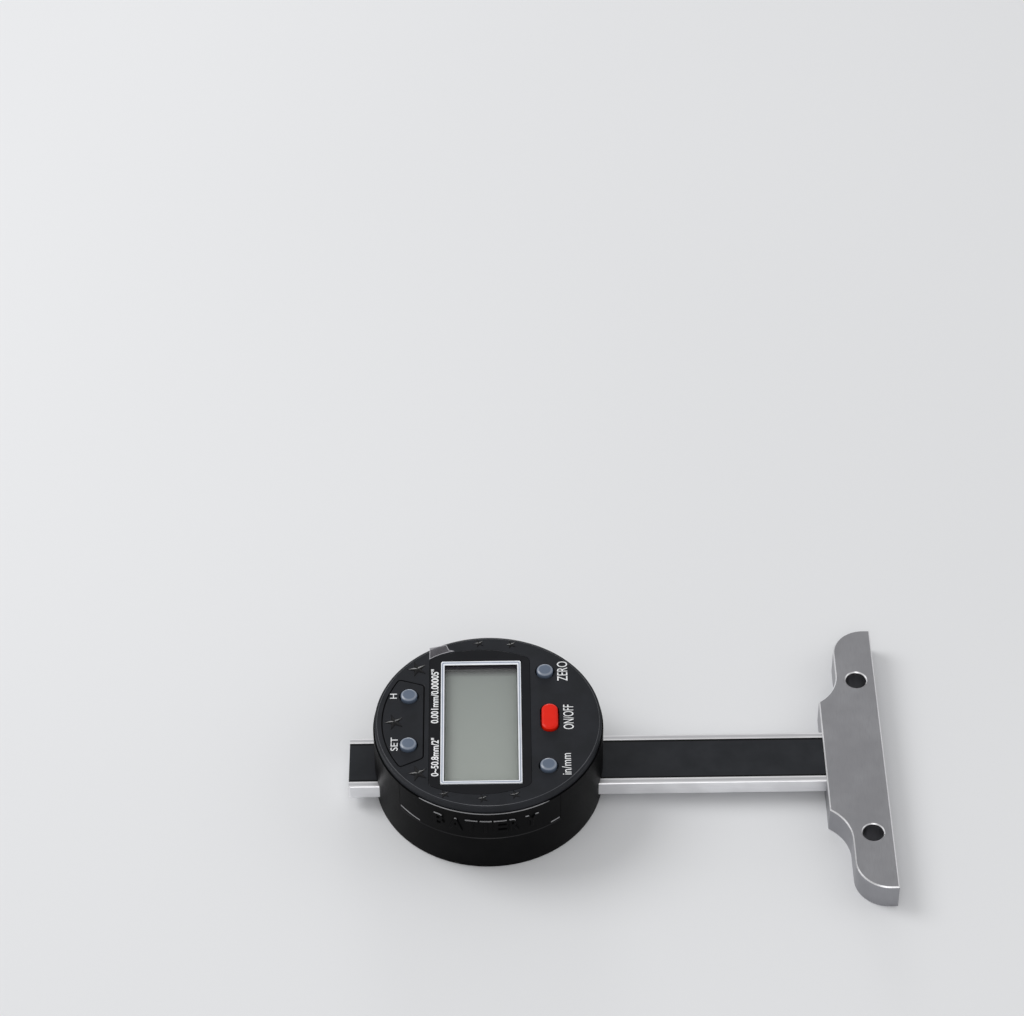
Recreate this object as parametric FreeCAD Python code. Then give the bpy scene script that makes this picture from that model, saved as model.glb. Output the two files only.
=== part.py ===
import FreeCAD, Part
import math
import os

# Digital depth gauge with a round head that slides on a flat beam and pushes a thin rod out of a wide base.
# Sizes are millimetres. The origin is the middle of the measuring face, on the axis of the depth rod.
# +X runs out of the measuring face, +Z out of the display and +Y away from the battery door.

V = FreeCAD.Vector

# Clearances that several pieces share, and how far apart two heights may be and still count as the same
fit_gap = 0.05
guide_gap = 0.05
running_gap = 0.1
cut_overrun = 1.0
same_height = 0.005

# Sides of the prisms that stand for small hidden cylinders, and the half width of a driver slot
small_sides = 12
slot_share = 0.2

# Range of the gauge, and what is left between head and base when the rod is fully out
travel = 50.8
end_gap = 4.26

# Depth rod with the foot that joins it to the carriage
rod_diameter = 1.5
rod_sink = 0.08
rod_tip_chamfer = 0.2
rod_post_length = 4.0
rod_foot_length = 8.0
rod_foot_width = 5.0
rod_foot_thickness = 0.6
rod_foot_drop = 0.25

# Beam with polished edges, a recess for the scale and a groove for the rod
beam_width = 16.0
beam_thickness = 4.0
beam_tail = 6.38
beam_edge_strip = 1.76
beam_edge_chamfer = 0.15
beam_end_chamfer = 0.4
scale_recess_depth = 0.8
scale_reveal = 0.05
groove_side_gap = 0.1
groove_end_gap = 1.5
tongue_thickness = 2.0

# Base with the measuring face, two holes for an extension base and a pocket for the beam
base_length = 84.4
base_thickness = 7.5
base_arm_depth = 9.9
base_hub_depth = 14.8
base_hub_width = 35.6
base_flare_radius = 11.1
base_tip_radius = 8.0
base_edge_chamfer = 0.3
base_pocket_wall = 3.0
extension_hole_spacing = 50.0
extension_hole_diameter = 5.2
extension_hole_chamfer = 0.4
extension_hole_setback = 4.85
clamp_plate_reveal = 0.05
base_screw_spacing = 10.0
base_screw_setback = 8.9
base_screw_radius = 1.25
base_screw_head_radius = 2.3
base_screw_head_height = 1.3
base_screw_length = 6.1

# Stop screw on the back of the beam
stop_gap = 0.3
stop_head_radius = 1.5
stop_head_height = 0.8
stop_shank_radius = 1.0
stop_shank_length = 2.2

# Round housing, covers and the door opening, as angles from the near side
housing_radius = 28.3
housing_wall = 1.6
floor_thickness = 1.2
cover_step = 0.4
cover_thickness = 2.0
cover_rim_width = 0.65
cover_rim_drop = 0.15
rear_cover_thickness = 1.4
rear_cover_chamfer = 0.4
door_left_angle = 50.0
door_right_angle = 38.0
door_notch_width = 2.2
door_notch_height = 1.2
door_notch_depth = 0.5
beam_slot_gap = 0.35
post_radius = 2.0

# Carriage that runs on the beam, with its gib
carriage_length = 34.0
near_rail_width = 3.85
far_rail_width = 3.0
deck_thickness = 1.9
sensor_gap = 0.1
sensor_board_thickness = 0.85
sensor_board_width = 12.4
sensor_board_setback = 2.0
gib_thickness = 0.77
gib_setback = 2.0
gib_height = 3.0
gib_screw_radius = 1.0
gib_screw_setback = 7.0
gib_screw_length = 2.7
gib_key_radius = 0.5
gib_key_depth = 1.2
key_hole_radius = 1.1
side_screw_lift = 1.2
carriage_screw_spacing_x = 14.0
carriage_screw_y = 10.2
carriage_screw_radius = 0.8
carriage_screw_head_radius = 1.5
carriage_screw_head_height = 0.7
carriage_screw_length = 4.2
plate_screw_setback = 2.8
plate_screw_y = 10.2
plate_screw_radius = 0.7
plate_screw_head_radius = 1.3
plate_screw_head_height = 0.7
plate_screw_length = 3.6
clamp_margin = 3.0
clamp_width = 7.0
clamp_screw_radius = 0.5
clamp_screw_head_radius = 0.9
clamp_screw_head_height = 0.3

# Lock screw on the far side
lock_shank_radius = 1.5
lock_head_radius = 3.5
lock_head_length = 6.0
lock_head_gap = 0.5
lock_collar_radius = 2.3
lock_collar_length = 1.0
lock_flute_depth = 0.35
lock_flute_count = 18

# Coin cell and the tray that carries it out of the near side
cell_diameter = 20.0
cell_height = 3.2
cell_rim_step = 0.9
cell_rim_drop = 0.5
cell_door_gap = 5.2
tray_centre_x = -2.1
tray_side_margin = 1.8
tray_floor = 0.9
tray_wall_height = 2.4
tray_back_margin = 1.9
tray_notch_width = 5.0
guide_wall = 1.0
guide_lip_reach = 0.8
guide_lip_thickness = 0.8
guide_length = 20.0
stop_rib_width = 7.0
stop_rib_height = 1.6
contact_room = 1.35
contact_thickness = 0.3
positive_contact_width = 4.0
positive_contact_foot = 3.5
positive_contact_reach = 2.2
negative_contact_width = 5.0
negative_contact_foot = 3.0
negative_contact_span = 6.0

# Main board, display stack and the link to the sensor board
board_thickness = 0.8
board_gap = 0.4
contact_strip_height = 1.1
contact_strip_width = 1.0
display_cell_thickness = 1.5
display_glass_thickness = 0.7
display_polariser_gap = 0.1
display_ledge = 1.0
holder_wall = 0.9
link_width = 10.0
link_depth = 2.5
link_setback = 2.75
link_gap = 0.3
cover_screw_radius = 0.8
cover_screw_head_radius = 1.5
cover_screw_head_height = 0.9
cover_screw_bite = 2.5
rear_screw_radius = 0.8
rear_screw_head_radius = 1.5
rear_screw_head_height = 0.8
rear_screw_length = 6.0

# Window and lens panel, as shares of the cover's radius from the head's centre, with the frame round the window
window_left_share = -0.3799
window_right_share = 0.2581
window_near_share = -0.6918
window_far_share = 0.6523
lens_left_share = -0.5197
lens_right_share = 0.3763
lens_arc_share = 0.9857
frame_bar = 1.05
frame_far_bar = 1.5
frame_near_bar = 1.1
frame_proud = 0.2
frame_bevel = 0.25
lens_corner_margin = 1.32
lens_thickness = 1.0
lens_corner_radius = 1.6
pane_margin = 0.4
pane_thickness = 0.9

# Buttons, with their places as shares of the cover's radius
button_radius = 2.05
button_gap = 0.12
button_proud = 0.8
button_crown = 0.45
button_travel = 0.5
button_flange_reach = 0.6
button_flange_thickness = 0.8
power_button_length = 8.1
power_button_width = 4.3
pad_sheet_thickness = 0.4
pad_margin = 0.8
pad_dome_radius = 1.6
zero_button_shares = (0.509, 0.5735)
power_button_shares = (0.543, 0.0215)
unit_button_shares = (0.5233, -0.5341)
hold_button_shares = (-0.6989, 0.2939)
set_button_shares = (-0.6989, -0.276)

# Shield-shaped channel round the two left buttons, and the raised stars, as shares of the cover's radius,
# with the small stars as angles and shares of the rim outside the lens
shield_corner_shares = ((-0.7885, 0.5018), (-0.5591, 0.4301), (-0.5591, -0.4301), (-0.7814, -0.5412))
shield_arc_share = 0.9355
shield_groove_width = 0.45
shield_groove_depth = 0.25
star_points = 5
star_point_angle = 180.0
star_height = 0.3
star_sink = 0.1
star_waist_share = 0.34
large_star_share = 0.0878
small_star_share = 0.28
large_star_shares = ((-0.6272, 0.6201), (-0.8244, -0.009), (-0.6111, -0.6057))
small_star_rim_places = ((77.0, 0.54), (94.9, 0.533), (245.6, 0.53), (266.8, 0.343), (285.0, 0.28))

# Places of the screws that hold the covers, as shares of the cover's radius
cover_screw_shares = ((0.724, 0.4158), (0.724, -0.4158), (-0.6093, 0.5735), (-0.6846, -0.5018))
rear_screw_shares = ((0.5197, 0.6989), (0.5197, -0.6989), (-0.5197, 0.6989), (-0.5197, -0.6989))

# Heights that follow from the sizes above
rod_radius = rod_diameter / 2
beam_back = -(rod_radius + rod_sink)
beam_front = beam_back + beam_thickness
base_back = -base_thickness / 2
base_front = base_thickness / 2
tongue_front = beam_back + tongue_thickness
scale_floor = beam_front - scale_recess_depth
rear_cover_front = base_back + rear_cover_thickness
plate_back = rear_cover_front + fit_gap
plate_front = beam_back - running_gap
rod_foot_front = plate_front - rod_foot_drop
rod_foot_back = rod_foot_front - rod_foot_thickness
flange_back = beam_front + guide_gap
deck_back = beam_front + sensor_gap + sensor_board_thickness
deck_front = deck_back + deck_thickness
floor_front = deck_front + floor_thickness
tray_back = floor_front + running_gap
tray_front = tray_back + tray_floor
cell_front = tray_front + cell_height
board_back = cell_front + contact_room
board_front = board_back + board_thickness
display_back = board_front + contact_strip_height
display_front = display_back + display_cell_thickness
seam = display_front + running_gap
face = seam + cover_thickness
lens_back = face - lens_thickness
button_front = face + button_proud
flange_front = seam - running_gap
flange_rear = flange_front - button_flange_thickness
pad_front = flange_rear - button_travel - running_gap

# Places along and across the beam that follow from the sizes above
head_x = -(base_hub_depth + end_gap + travel + housing_radius)
beam_left = head_x - housing_radius - beam_tail
beam_half = beam_width / 2
scale_half = beam_half - beam_edge_strip
groove_half = rod_radius + groove_side_gap
housing_bore = housing_radius - housing_wall
cover_radius = housing_radius - cover_step
window_left = window_left_share * cover_radius
window_right = window_right_share * cover_radius
window_near = window_near_share * cover_radius
window_far = window_far_share * cover_radius
lens_left = lens_left_share * cover_radius
lens_right = lens_right_share * cover_radius
shield_arc_radius = shield_arc_share * cover_radius
cover_screw_places = [(x * cover_radius, y * cover_radius) for x, y in cover_screw_shares]
rear_screw_places = [(x * cover_radius, y * cover_radius) for x, y in rear_screw_shares]
large_stars = [(x * cover_radius, y * cover_radius) for x, y in large_star_shares]
rod_tail = head_x - rod_foot_length / 2
groove_start = rod_tail - groove_end_gap
gib_near = beam_half + guide_gap
gib_far = gib_near + gib_thickness
far_rail_inner = gib_far + guide_gap
far_rail_outer = far_rail_inner + far_rail_width
near_rail_inner = -(beam_half + guide_gap)
near_rail_outer = near_rail_inner - near_rail_width
sensor_board_length = carriage_length - 2 * sensor_board_setback
gib_length = carriage_length - 2 * gib_setback
plate_screw_spacing_x = carriage_length - 2 * plate_screw_setback
cell_centre_y = cell_diameter / 2 + cell_door_gap - housing_bore
tray_left = tray_centre_x - cell_diameter / 2 - tray_side_margin
tray_right = tray_centre_x + cell_diameter / 2 + tray_side_margin
tray_end = cell_centre_y + cell_diameter / 2 + tray_back_margin
link_centre_y = tray_end + link_setback + link_depth / 2
frame_left = window_left - frame_bar
frame_right = window_right + frame_bar
frame_near = window_near - frame_near_bar
frame_far = window_far + frame_far_bar
lens_middle = (lens_left + lens_right) / 2
lens_arc_radius = lens_arc_share * cover_radius
frame_reach = max(lens_middle - frame_left, frame_right - lens_middle)
lens_arc_sag = lens_arc_radius - math.sqrt(lens_arc_radius ** 2 - frame_reach ** 2)
lens_rise = max(frame_far, -frame_near) + lens_corner_margin + lens_arc_sag
rim_width = cover_radius - lens_rise
small_star_radius = small_star_share * rim_width
display_left = window_left - display_ledge
display_right = window_right + display_ledge
display_near = window_near - display_ledge
display_far = window_far + display_ledge

# Kinds of screw: head radius, head height, shank radius and length
base_screw = (base_screw_head_radius, base_screw_head_height, base_screw_radius, base_screw_length)
stop_kind = (stop_head_radius, stop_head_height, stop_shank_radius, stop_head_height + stop_shank_length)
carriage_screw = (carriage_screw_head_radius, carriage_screw_head_height, carriage_screw_radius,
                  carriage_screw_length)
plate_screw = (plate_screw_head_radius, plate_screw_head_height, plate_screw_radius, plate_screw_length)
clamp_screw = (clamp_screw_head_radius, clamp_screw_head_height, clamp_screw_radius,
               plate_front - plate_back - fit_gap)
cover_screw = (cover_screw_head_radius, cover_screw_head_height, cover_screw_radius,
               board_front + cover_screw_bite - deck_front)
rear_screw = (rear_screw_head_radius, rear_screw_head_height, rear_screw_radius, rear_screw_length)


# Shared shapes

def box(x0, x1, y0, y1, z0, z1):
    return Part.makeBox(x1 - x0, y1 - y0, z1 - z0, V(x0, y0, z0))


def upright(x, y, z0, z1, radius):
    return Part.makeCylinder(radius, z1 - z0, V(x, y, z0))


def crosswise(x, y0, y1, z, radius):
    return Part.makeCylinder(radius, y1 - y0, V(x, y0, z), V(0, 1, 0))


def many_sided(centre, across, up, radius, reach):
    """Prism that stands for a small hidden cylinder, so that repeated screws and holes have few faces."""
    corners = []
    for number in range(small_sides):
        turn = 2 * math.pi * (number + 0.5) / small_sides
        corners.append(centre + across * (radius * math.cos(turn)) + up * (radius * math.sin(turn)))
    return Part.Face(Part.makePolygon(corners + corners[:1])).extrude(reach)


def small_upright(x, y, z0, z1, radius):
    return many_sided(V(x, y, z0), V(1, 0, 0), V(0, 1, 0), radius, V(0, 0, z1 - z0))


def small_crosswise(x, y0, y1, z, radius):
    return many_sided(V(x, y0, z), V(1, 0, 0), V(0, 0, 1), radius, V(0, y1 - y0, 0))


def joined(shapes):
    return shapes[0].fuse(shapes[1:]).removeSplitter()


def place_on_head(shape):
    moved = shape.copy()
    moved.translate(V(head_x, 0, 0))
    return moved


def line(a, b):
    return Part.LineSegment(a, b).toShape()


def arc(a, middle, b):
    return Part.Arc(a, middle, b).toShape()


def on_circle(radius, degrees):
    turn = math.radians(degrees)
    return V(radius * math.cos(turn), radius * math.sin(turn), 0)


def raised(edges, z0, z1):
    wire = Part.Wire(Part.__sortEdges__(edges))
    outline = Part.Face(wire)
    outline.translate(V(0, 0, z0))
    return outline.extrude(V(0, 0, z1 - z0))


def profile_along_x(points, x0, x1):
    corners = [V(x0, y, z) for y, z in points]
    wire = Part.makePolygon(corners + corners[:1])
    return Part.Face(wire).extrude(V(x1 - x0, 0, 0))


def edges_at_height(shape, z):
    found = []
    for edge in shape.Edges:
        limits = edge.BoundBox
        if abs(limits.ZMin - z) < same_height and abs(limits.ZMax - z) < same_height:
            found.append(edge)
    return found


def stepped(x, y, z, way, kind, make_head):
    """Head and shank of a screw whose outer face is at z, or of its hole; way is +1 up or -1 down."""
    head_radius, head_height, shank_radius, length = kind
    tip = z + way * length
    shoulder = z + way * head_height
    cap = make_head(x, y, min(z, shoulder), max(z, shoulder), head_radius)
    shank = small_upright(x, y, min(shoulder, tip), max(shoulder, tip), shank_radius)
    return joined([cap, shank])


def screw(x, y, z, way, kind, make_head):
    """Cheese-headed screw with a driver slot."""
    head_radius, head_height, shank_radius, length = kind
    body = stepped(x, y, z, way, kind, make_head)
    half = head_radius * slot_share
    floor = z + way * head_height / 2
    slot = box(x - head_radius, x + head_radius, y - half, y + half, min(z, floor), max(z, floor))
    return body.cut(slot)


def rounded_slab(x, y, width, length, z0, z1):
    """Slab with round ends along Y, as long as length in all."""
    radius = width / 2
    reach = length / 2 - radius
    middle = box(x - radius, x + radius, y - reach, y + reach, z0, z1)
    ends = [upright(x, y + side * reach, z0, z1, radius) for side in (-1, 1)]
    return joined([middle] + ends)


# Beam assembly

def base_screw_places():
    return [(-base_screw_setback, side * base_screw_spacing / 2) for side in (-1, 1)]


def beam():
    chamfer = beam_edge_chamfer
    section = [
        (-beam_half, beam_back + chamfer),
        (-beam_half + chamfer, beam_back),
        (beam_half - chamfer, beam_back),
        (beam_half, beam_back + chamfer),
        (beam_half, beam_front - chamfer),
        (beam_half - chamfer, beam_front),
        (scale_half, beam_front),
        (scale_half, scale_floor),
        (-scale_half, scale_floor),
        (-scale_half, beam_front),
        (-beam_half + chamfer, beam_front),
        (-beam_half, beam_front - chamfer),
    ]
    bar = profile_along_x(section, beam_left, -base_hub_depth)
    tongue = box(-base_hub_depth, -base_pocket_wall, -beam_half, beam_half, beam_back, tongue_front)
    bar = joined([bar, tongue])
    for side in (-1, 1):
        corner = V(beam_left, side * beam_half, beam_back - cut_overrun)
        along = V(beam_left + beam_end_chamfer, side * beam_half, beam_back - cut_overrun)
        across = V(beam_left, side * (beam_half - beam_end_chamfer), beam_back - cut_overrun)
        wedge = Part.Face(Part.makePolygon([corner, along, across, corner]))
        bar = bar.cut(wedge.extrude(V(0, 0, beam_thickness + 2 * cut_overrun)))
    groove = box(groove_start, 0, -groove_half, groove_half, beam_back - cut_overrun, groove_half)
    stop_hole = small_upright(stop_screw_x(), 0, beam_back - cut_overrun,
                              beam_back + stop_shank_length, stop_shank_radius)
    bar = bar.cut([groove, stop_hole])
    for x, y in base_screw_places():
        hole = small_upright(x, y, beam_back - cut_overrun, tongue_front + cut_overrun,
                             base_screw_radius + fit_gap)
        bar = bar.cut(hole)
    return bar


def scale_strip():
    half = scale_half - fit_gap
    return box(beam_left, -base_hub_depth, -half, half, scale_floor, beam_front - scale_reveal)


def base_edges(side):
    """One half of the base's outline, from the measuring face round to the hub, on the side given."""
    half = base_length / 2
    hub_y = base_hub_width / 2
    flare_run = base_flare_radius - (base_hub_depth - base_arm_depth)
    flare_rise = math.sqrt(base_flare_radius ** 2 - flare_run ** 2)
    flare_y = hub_y + flare_rise
    flare_x = -(base_arm_depth + base_flare_radius)
    flare_angle = math.atan2(flare_rise, flare_run) / 2
    tip_x = -(base_arm_depth - base_tip_radius)
    tip_y = half - base_tip_radius
    slant = base_tip_radius / math.sqrt(2)
    flare_middle = V(flare_x + base_flare_radius * math.cos(flare_angle),
                     side * (flare_y - base_flare_radius * math.sin(flare_angle)), 0)
    return [
        line(V(0, 0, 0), V(0, side * half, 0)),
        line(V(0, side * half, 0), V(tip_x, side * half, 0)),
        arc(V(tip_x, side * half, 0), V(tip_x - slant, side * (tip_y + slant), 0),
            V(-base_arm_depth, side * tip_y, 0)),
        line(V(-base_arm_depth, side * tip_y, 0), V(-base_arm_depth, side * flare_y, 0)),
        arc(V(-base_arm_depth, side * flare_y, 0), flare_middle, V(-base_hub_depth, side * hub_y, 0)),
        line(V(-base_hub_depth, side * hub_y, 0), V(-base_hub_depth, 0, 0)),
    ]


def base_plate():
    plate = raised(base_edges(1) + base_edges(-1), base_back, base_front).removeSplitter()
    outline = edges_at_height(plate, base_back) + edges_at_height(plate, base_front)
    plate = plate.makeChamfer(base_edge_chamfer, outline)
    pocket_half = beam_half + fit_gap
    pocket = box(-base_hub_depth - cut_overrun, -base_pocket_wall, -pocket_half, pocket_half,
                 base_back - cut_overrun, tongue_front)
    bore = Part.makeCylinder(rod_radius + guide_gap, base_pocket_wall + 2 * cut_overrun,
                             V(-base_pocket_wall - cut_overrun, 0, 0), V(1, 0, 0))
    plate = plate.cut([pocket, bore])
    hole_radius = extension_hole_diameter / 2
    wide_radius = hole_radius + extension_hole_chamfer
    for side in (-1, 1):
        x = -extension_hole_setback
        y = side * extension_hole_spacing / 2
        through = upright(x, y, base_back - cut_overrun, base_front + cut_overrun, hole_radius)
        front_cone = Part.makeCone(hole_radius, wide_radius, extension_hole_chamfer,
                                   V(x, y, base_front - extension_hole_chamfer))
        plate = plate.cut([through, front_cone])
    for x, y in base_screw_places():
        thread = small_upright(x, y, tongue_front - cut_overrun,
                               base_back + clamp_plate_reveal + base_screw_length, base_screw_radius)
        plate = plate.cut(thread)
    return plate


def base_clamp():
    back = base_back + clamp_plate_reveal
    plate = box(-base_hub_depth, -base_pocket_wall - fit_gap, -beam_half, beam_half, back, beam_back)
    for x, y in base_screw_places():
        plate = plate.cut(stepped(x, y, back, 1, base_screw, upright))
    return plate


def base_screws():
    back = base_back + clamp_plate_reveal
    return [screw(x, y, back, 1, base_screw, upright) for x, y in base_screw_places()]


def stop_screw_x():
    return head_x - housing_radius - stop_gap - stop_head_radius


def stop_screw():
    return screw(stop_screw_x(), 0, beam_back - stop_head_height, 1, stop_kind, upright)


# Carriage, drawn about the head's centre and then moved there

def gib_screw_places():
    return [side * (carriage_length / 2 - gib_screw_setback) for side in (-1, 1)]


def corners_of(spacing_x, y):
    return [(sx * spacing_x / 2, sy * y) for sx in (-1, 1) for sy in (-1, 1)]


def carriage():
    half = carriage_length / 2
    channel_half = sensor_board_width / 2 + fit_gap
    section = [
        (near_rail_outer, plate_front),
        (near_rail_inner, plate_front),
        (near_rail_inner, flange_back),
        (-channel_half, flange_back),
        (-channel_half, deck_back),
        (channel_half, deck_back),
        (channel_half, flange_back),
        (far_rail_inner, flange_back),
        (far_rail_inner, plate_front),
        (far_rail_outer, plate_front),
        (far_rail_outer, deck_front),
        (near_rail_outer, deck_front),
    ]
    body = profile_along_x(section, -half, half)
    cuts = [link_hole(deck_back - cut_overrun, deck_front + cut_overrun)]
    for x in gib_screw_places():
        cuts.append(small_crosswise(x, far_rail_inner - cut_overrun, far_rail_outer + cut_overrun,
                                    side_screw_lift, gib_screw_radius))
    cuts.append(crosswise(0, far_rail_inner - cut_overrun, far_rail_outer + cut_overrun,
                          side_screw_lift, lock_shank_radius + running_gap))
    for x, y in corners_of(carriage_screw_spacing_x, carriage_screw_y):
        cuts.append(small_upright(x, y, floor_front - carriage_screw_length, deck_front + cut_overrun,
                                  carriage_screw_radius))
    for x, y in corners_of(plate_screw_spacing_x, plate_screw_y):
        cuts.append(small_upright(x, y, plate_front - cut_overrun, plate_back + plate_screw_length,
                                  plate_screw_radius))
    return place_on_head(body.cut(cuts))


def clamp_screw_places():
    reach = rod_foot_length / 2 + clamp_margin / 2
    return [(side * reach, 0) for side in (-1, 1)]


def carriage_plate():
    half = carriage_length / 2
    plate = box(-half, half, near_rail_outer, far_rail_outer, plate_back, plate_front)
    foot_half = rod_foot_length / 2 + running_gap
    foot_side = rod_foot_width / 2 + running_gap
    clamp_half = rod_foot_length / 2 + clamp_margin + running_gap
    clamp_side = clamp_width / 2 + running_gap
    window = box(-foot_half, foot_half, -foot_side, foot_side, plate_back - cut_overrun,
                 plate_front + cut_overrun)
    recess = box(-clamp_half, clamp_half, -clamp_side, clamp_side, plate_back - cut_overrun,
                 rod_foot_back)
    plate = plate.cut([window, recess])
    for x, y in corners_of(plate_screw_spacing_x, plate_screw_y):
        plate = plate.cut(stepped(x, y, plate_back, 1, plate_screw, small_upright))
    for x, y in clamp_screw_places():
        plate = plate.cut(small_upright(x, y, rod_foot_back - cut_overrun, plate_front + cut_overrun,
                                        clamp_screw_radius))
    return place_on_head(plate)


def carriage_plate_screws():
    screws = []
    for x, y in corners_of(plate_screw_spacing_x, plate_screw_y):
        screws.append(screw(x, y, plate_back, 1, plate_screw, small_upright))
    return [place_on_head(shape) for shape in screws]


def depth_rod():
    length = -rod_tail
    rod = Part.makeCylinder(rod_radius, length - rod_tip_chamfer, V(rod_tail, 0, 0), V(1, 0, 0))
    tip = Part.makeCone(rod_radius, rod_radius - rod_tip_chamfer, rod_tip_chamfer,
                        V(-rod_tip_chamfer, 0, 0), V(1, 0, 0))
    post = box(rod_tail, rod_tail + rod_post_length, -rod_radius, rod_radius, rod_foot_front, 0)
    half = rod_foot_width / 2
    foot = box(rod_tail, rod_tail + rod_foot_length, -half, half, rod_foot_back, rod_foot_front)
    return joined([rod, tip, post, foot])


def rod_clamp():
    half = rod_foot_length / 2 + clamp_margin
    side = clamp_width / 2
    plate = box(-half, half, -side, side, plate_back, rod_foot_back)
    for x, y in clamp_screw_places():
        plate = plate.cut(stepped(x, y, plate_back, 1, clamp_screw, small_upright))
    return place_on_head(plate)


def rod_clamp_screws():
    screws = []
    for x, y in clamp_screw_places():
        screws.append(screw(x, y, plate_back, 1, clamp_screw, small_upright))
    return [place_on_head(shape) for shape in screws]


def gib_strip():
    half = gib_length / 2
    low = side_screw_lift - gib_height / 2
    return place_on_head(box(-half, half, gib_near, gib_far, low, low + gib_height))


def gib_screws():
    screws = []
    for x in gib_screw_places():
        end = gib_far + gib_screw_length
        body = small_crosswise(x, gib_far, end, side_screw_lift, gib_screw_radius)
        key = small_crosswise(x, end - gib_key_depth, end + cut_overrun, side_screw_lift,
                              gib_key_radius)
        screws.append(place_on_head(body.cut(key)))
    return screws


def lock_screw():
    tip = gib_far + running_gap
    neck = housing_radius + lock_head_gap
    knob = neck + lock_collar_length
    lift = side_screw_lift
    shank = crosswise(0, tip, knob, lift, lock_shank_radius)
    collar = crosswise(0, neck, knob, lift, lock_collar_radius)
    corners = []
    for number in range(2 * lock_flute_count):
        turn = math.pi * number / lock_flute_count
        radius = lock_head_radius if number % 2 == 0 else lock_head_radius - lock_flute_depth
        corners.append(V(radius * math.cos(turn), knob, lift + radius * math.sin(turn)))
    grip = Part.Face(Part.makePolygon(corners + corners[:1])).extrude(V(0, lock_head_length, 0))
    return place_on_head(joined([shank, collar, grip]))


def sensor_board():
    half = sensor_board_length / 2
    side = sensor_board_width / 2
    back = deck_back - sensor_board_thickness
    return place_on_head(box(-half, half, -side, side, back, deck_back))


def link_hole(z0, z1):
    half = link_width / 2 + link_gap
    side = link_depth / 2 + link_gap
    return box(-half, half, link_centre_y - side, link_centre_y + side, z0, z1)


def board_link():
    half = link_width / 2
    side = link_depth / 2
    link = box(-half, half, link_centre_y - side, link_centre_y + side, deck_back, board_back)
    return place_on_head(link)


# Housing with its floor, posts, tray guides and door opening

def ring_sector(inner, outer, z0, z1, start, end):
    """Part of a ring between two directions in degrees from +X."""
    middle = (start + end) / 2
    edges = [
        arc(on_circle(outer, start), on_circle(outer, middle), on_circle(outer, end)),
        line(on_circle(outer, end), on_circle(inner, end)),
        arc(on_circle(inner, end), on_circle(inner, middle), on_circle(inner, start)),
        line(on_circle(inner, start), on_circle(outer, start)),
    ]
    return raised(edges, z0, z1)


def door_start():
    return -90 - door_left_angle


def door_end():
    return -90 + door_right_angle


def tray_guides():
    pieces = []
    lip_back = tray_front + tray_wall_height + running_gap
    lip_front = lip_back + guide_lip_thickness
    near = tray_end - guide_length
    for side, wall in ((-1, tray_left - running_gap), (1, tray_right + running_gap)):
        outer = wall + side * guide_wall
        inner = wall - side * guide_lip_reach
        pieces.append(box(min(wall, outer), max(wall, outer), near, tray_end, floor_front, lip_front))
        pieces.append(box(min(inner, outer), max(inner, outer), near, tray_end, lip_back, lip_front))
    rib_y = tray_end + running_gap
    rib_front = floor_front + stop_rib_height
    for x0 in (tray_left, tray_right - stop_rib_width):
        pieces.append(box(x0, x0 + stop_rib_width, rib_y, rib_y + guide_wall, floor_front, rib_front))
    room = upright(0, 0, floor_front, seam, housing_bore - guide_gap)
    return [piece.common(room) for piece in pieces]


def housing():
    outer = upright(0, 0, rear_cover_front, seam, housing_radius)
    lower_room = upright(0, 0, rear_cover_front - cut_overrun, deck_front, housing_bore)
    upper_room = upright(0, 0, floor_front, seam + cut_overrun, housing_bore)
    shell = outer.cut([lower_room, upper_room])
    solids = [shell]
    for x, y in cover_screw_places:
        solids.append(small_upright(x, y, floor_front, board_back, post_radius))
    for x, y in rear_screw_places:
        solids.append(small_upright(x, y, rear_cover_front, deck_front, post_radius))
    shell = joined(solids + tray_guides())
    slot_half = beam_half + beam_slot_gap
    length = housing_radius + cut_overrun
    cuts = [
        box(-length, -carriage_length / 2, -slot_half, slot_half, rear_cover_front - cut_overrun,
            beam_front + beam_slot_gap),
        box(carriage_length / 2, length, -slot_half, slot_half, rear_cover_front - cut_overrun,
            beam_front + beam_slot_gap),
        ring_sector(housing_bore - fit_gap, housing_radius + cut_overrun, floor_front,
                    seam + cut_overrun, door_start(), door_end()),
        link_hole(deck_front - cut_overrun, floor_front + cut_overrun),
        crosswise(0, housing_bore - housing_wall, housing_radius + cut_overrun, side_screw_lift,
                  lock_shank_radius + beam_slot_gap),
    ]
    for x in gib_screw_places():
        cuts.append(small_crosswise(x, housing_bore - 2 * housing_wall, housing_radius + cut_overrun,
                                    side_screw_lift, key_hole_radius))
    for x, y in corners_of(carriage_screw_spacing_x, carriage_screw_y):
        cuts.append(stepped(x, y, floor_front, -1, carriage_screw, small_upright))
    for x, y in cover_screw_places:
        cuts.append(small_upright(x, y, deck_front - cut_overrun, deck_front + cover_screw_head_height,
                                  cover_screw_head_radius + running_gap))
        cuts.append(small_upright(x, y, deck_front, board_back + cut_overrun,
                                  cover_screw_radius + fit_gap))
    for x, y in rear_screw_places:
        cuts.append(small_upright(x, y, rear_cover_front - cut_overrun, base_back + rear_screw_length,
                                  rear_screw_radius))
    return place_on_head(shell.cut(cuts).removeSplitter())


def carriage_screws():
    screws = []
    for x, y in corners_of(carriage_screw_spacing_x, carriage_screw_y):
        screws.append(screw(x, y, floor_front, -1, carriage_screw, small_upright))
    return [place_on_head(shape) for shape in screws]


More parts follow.
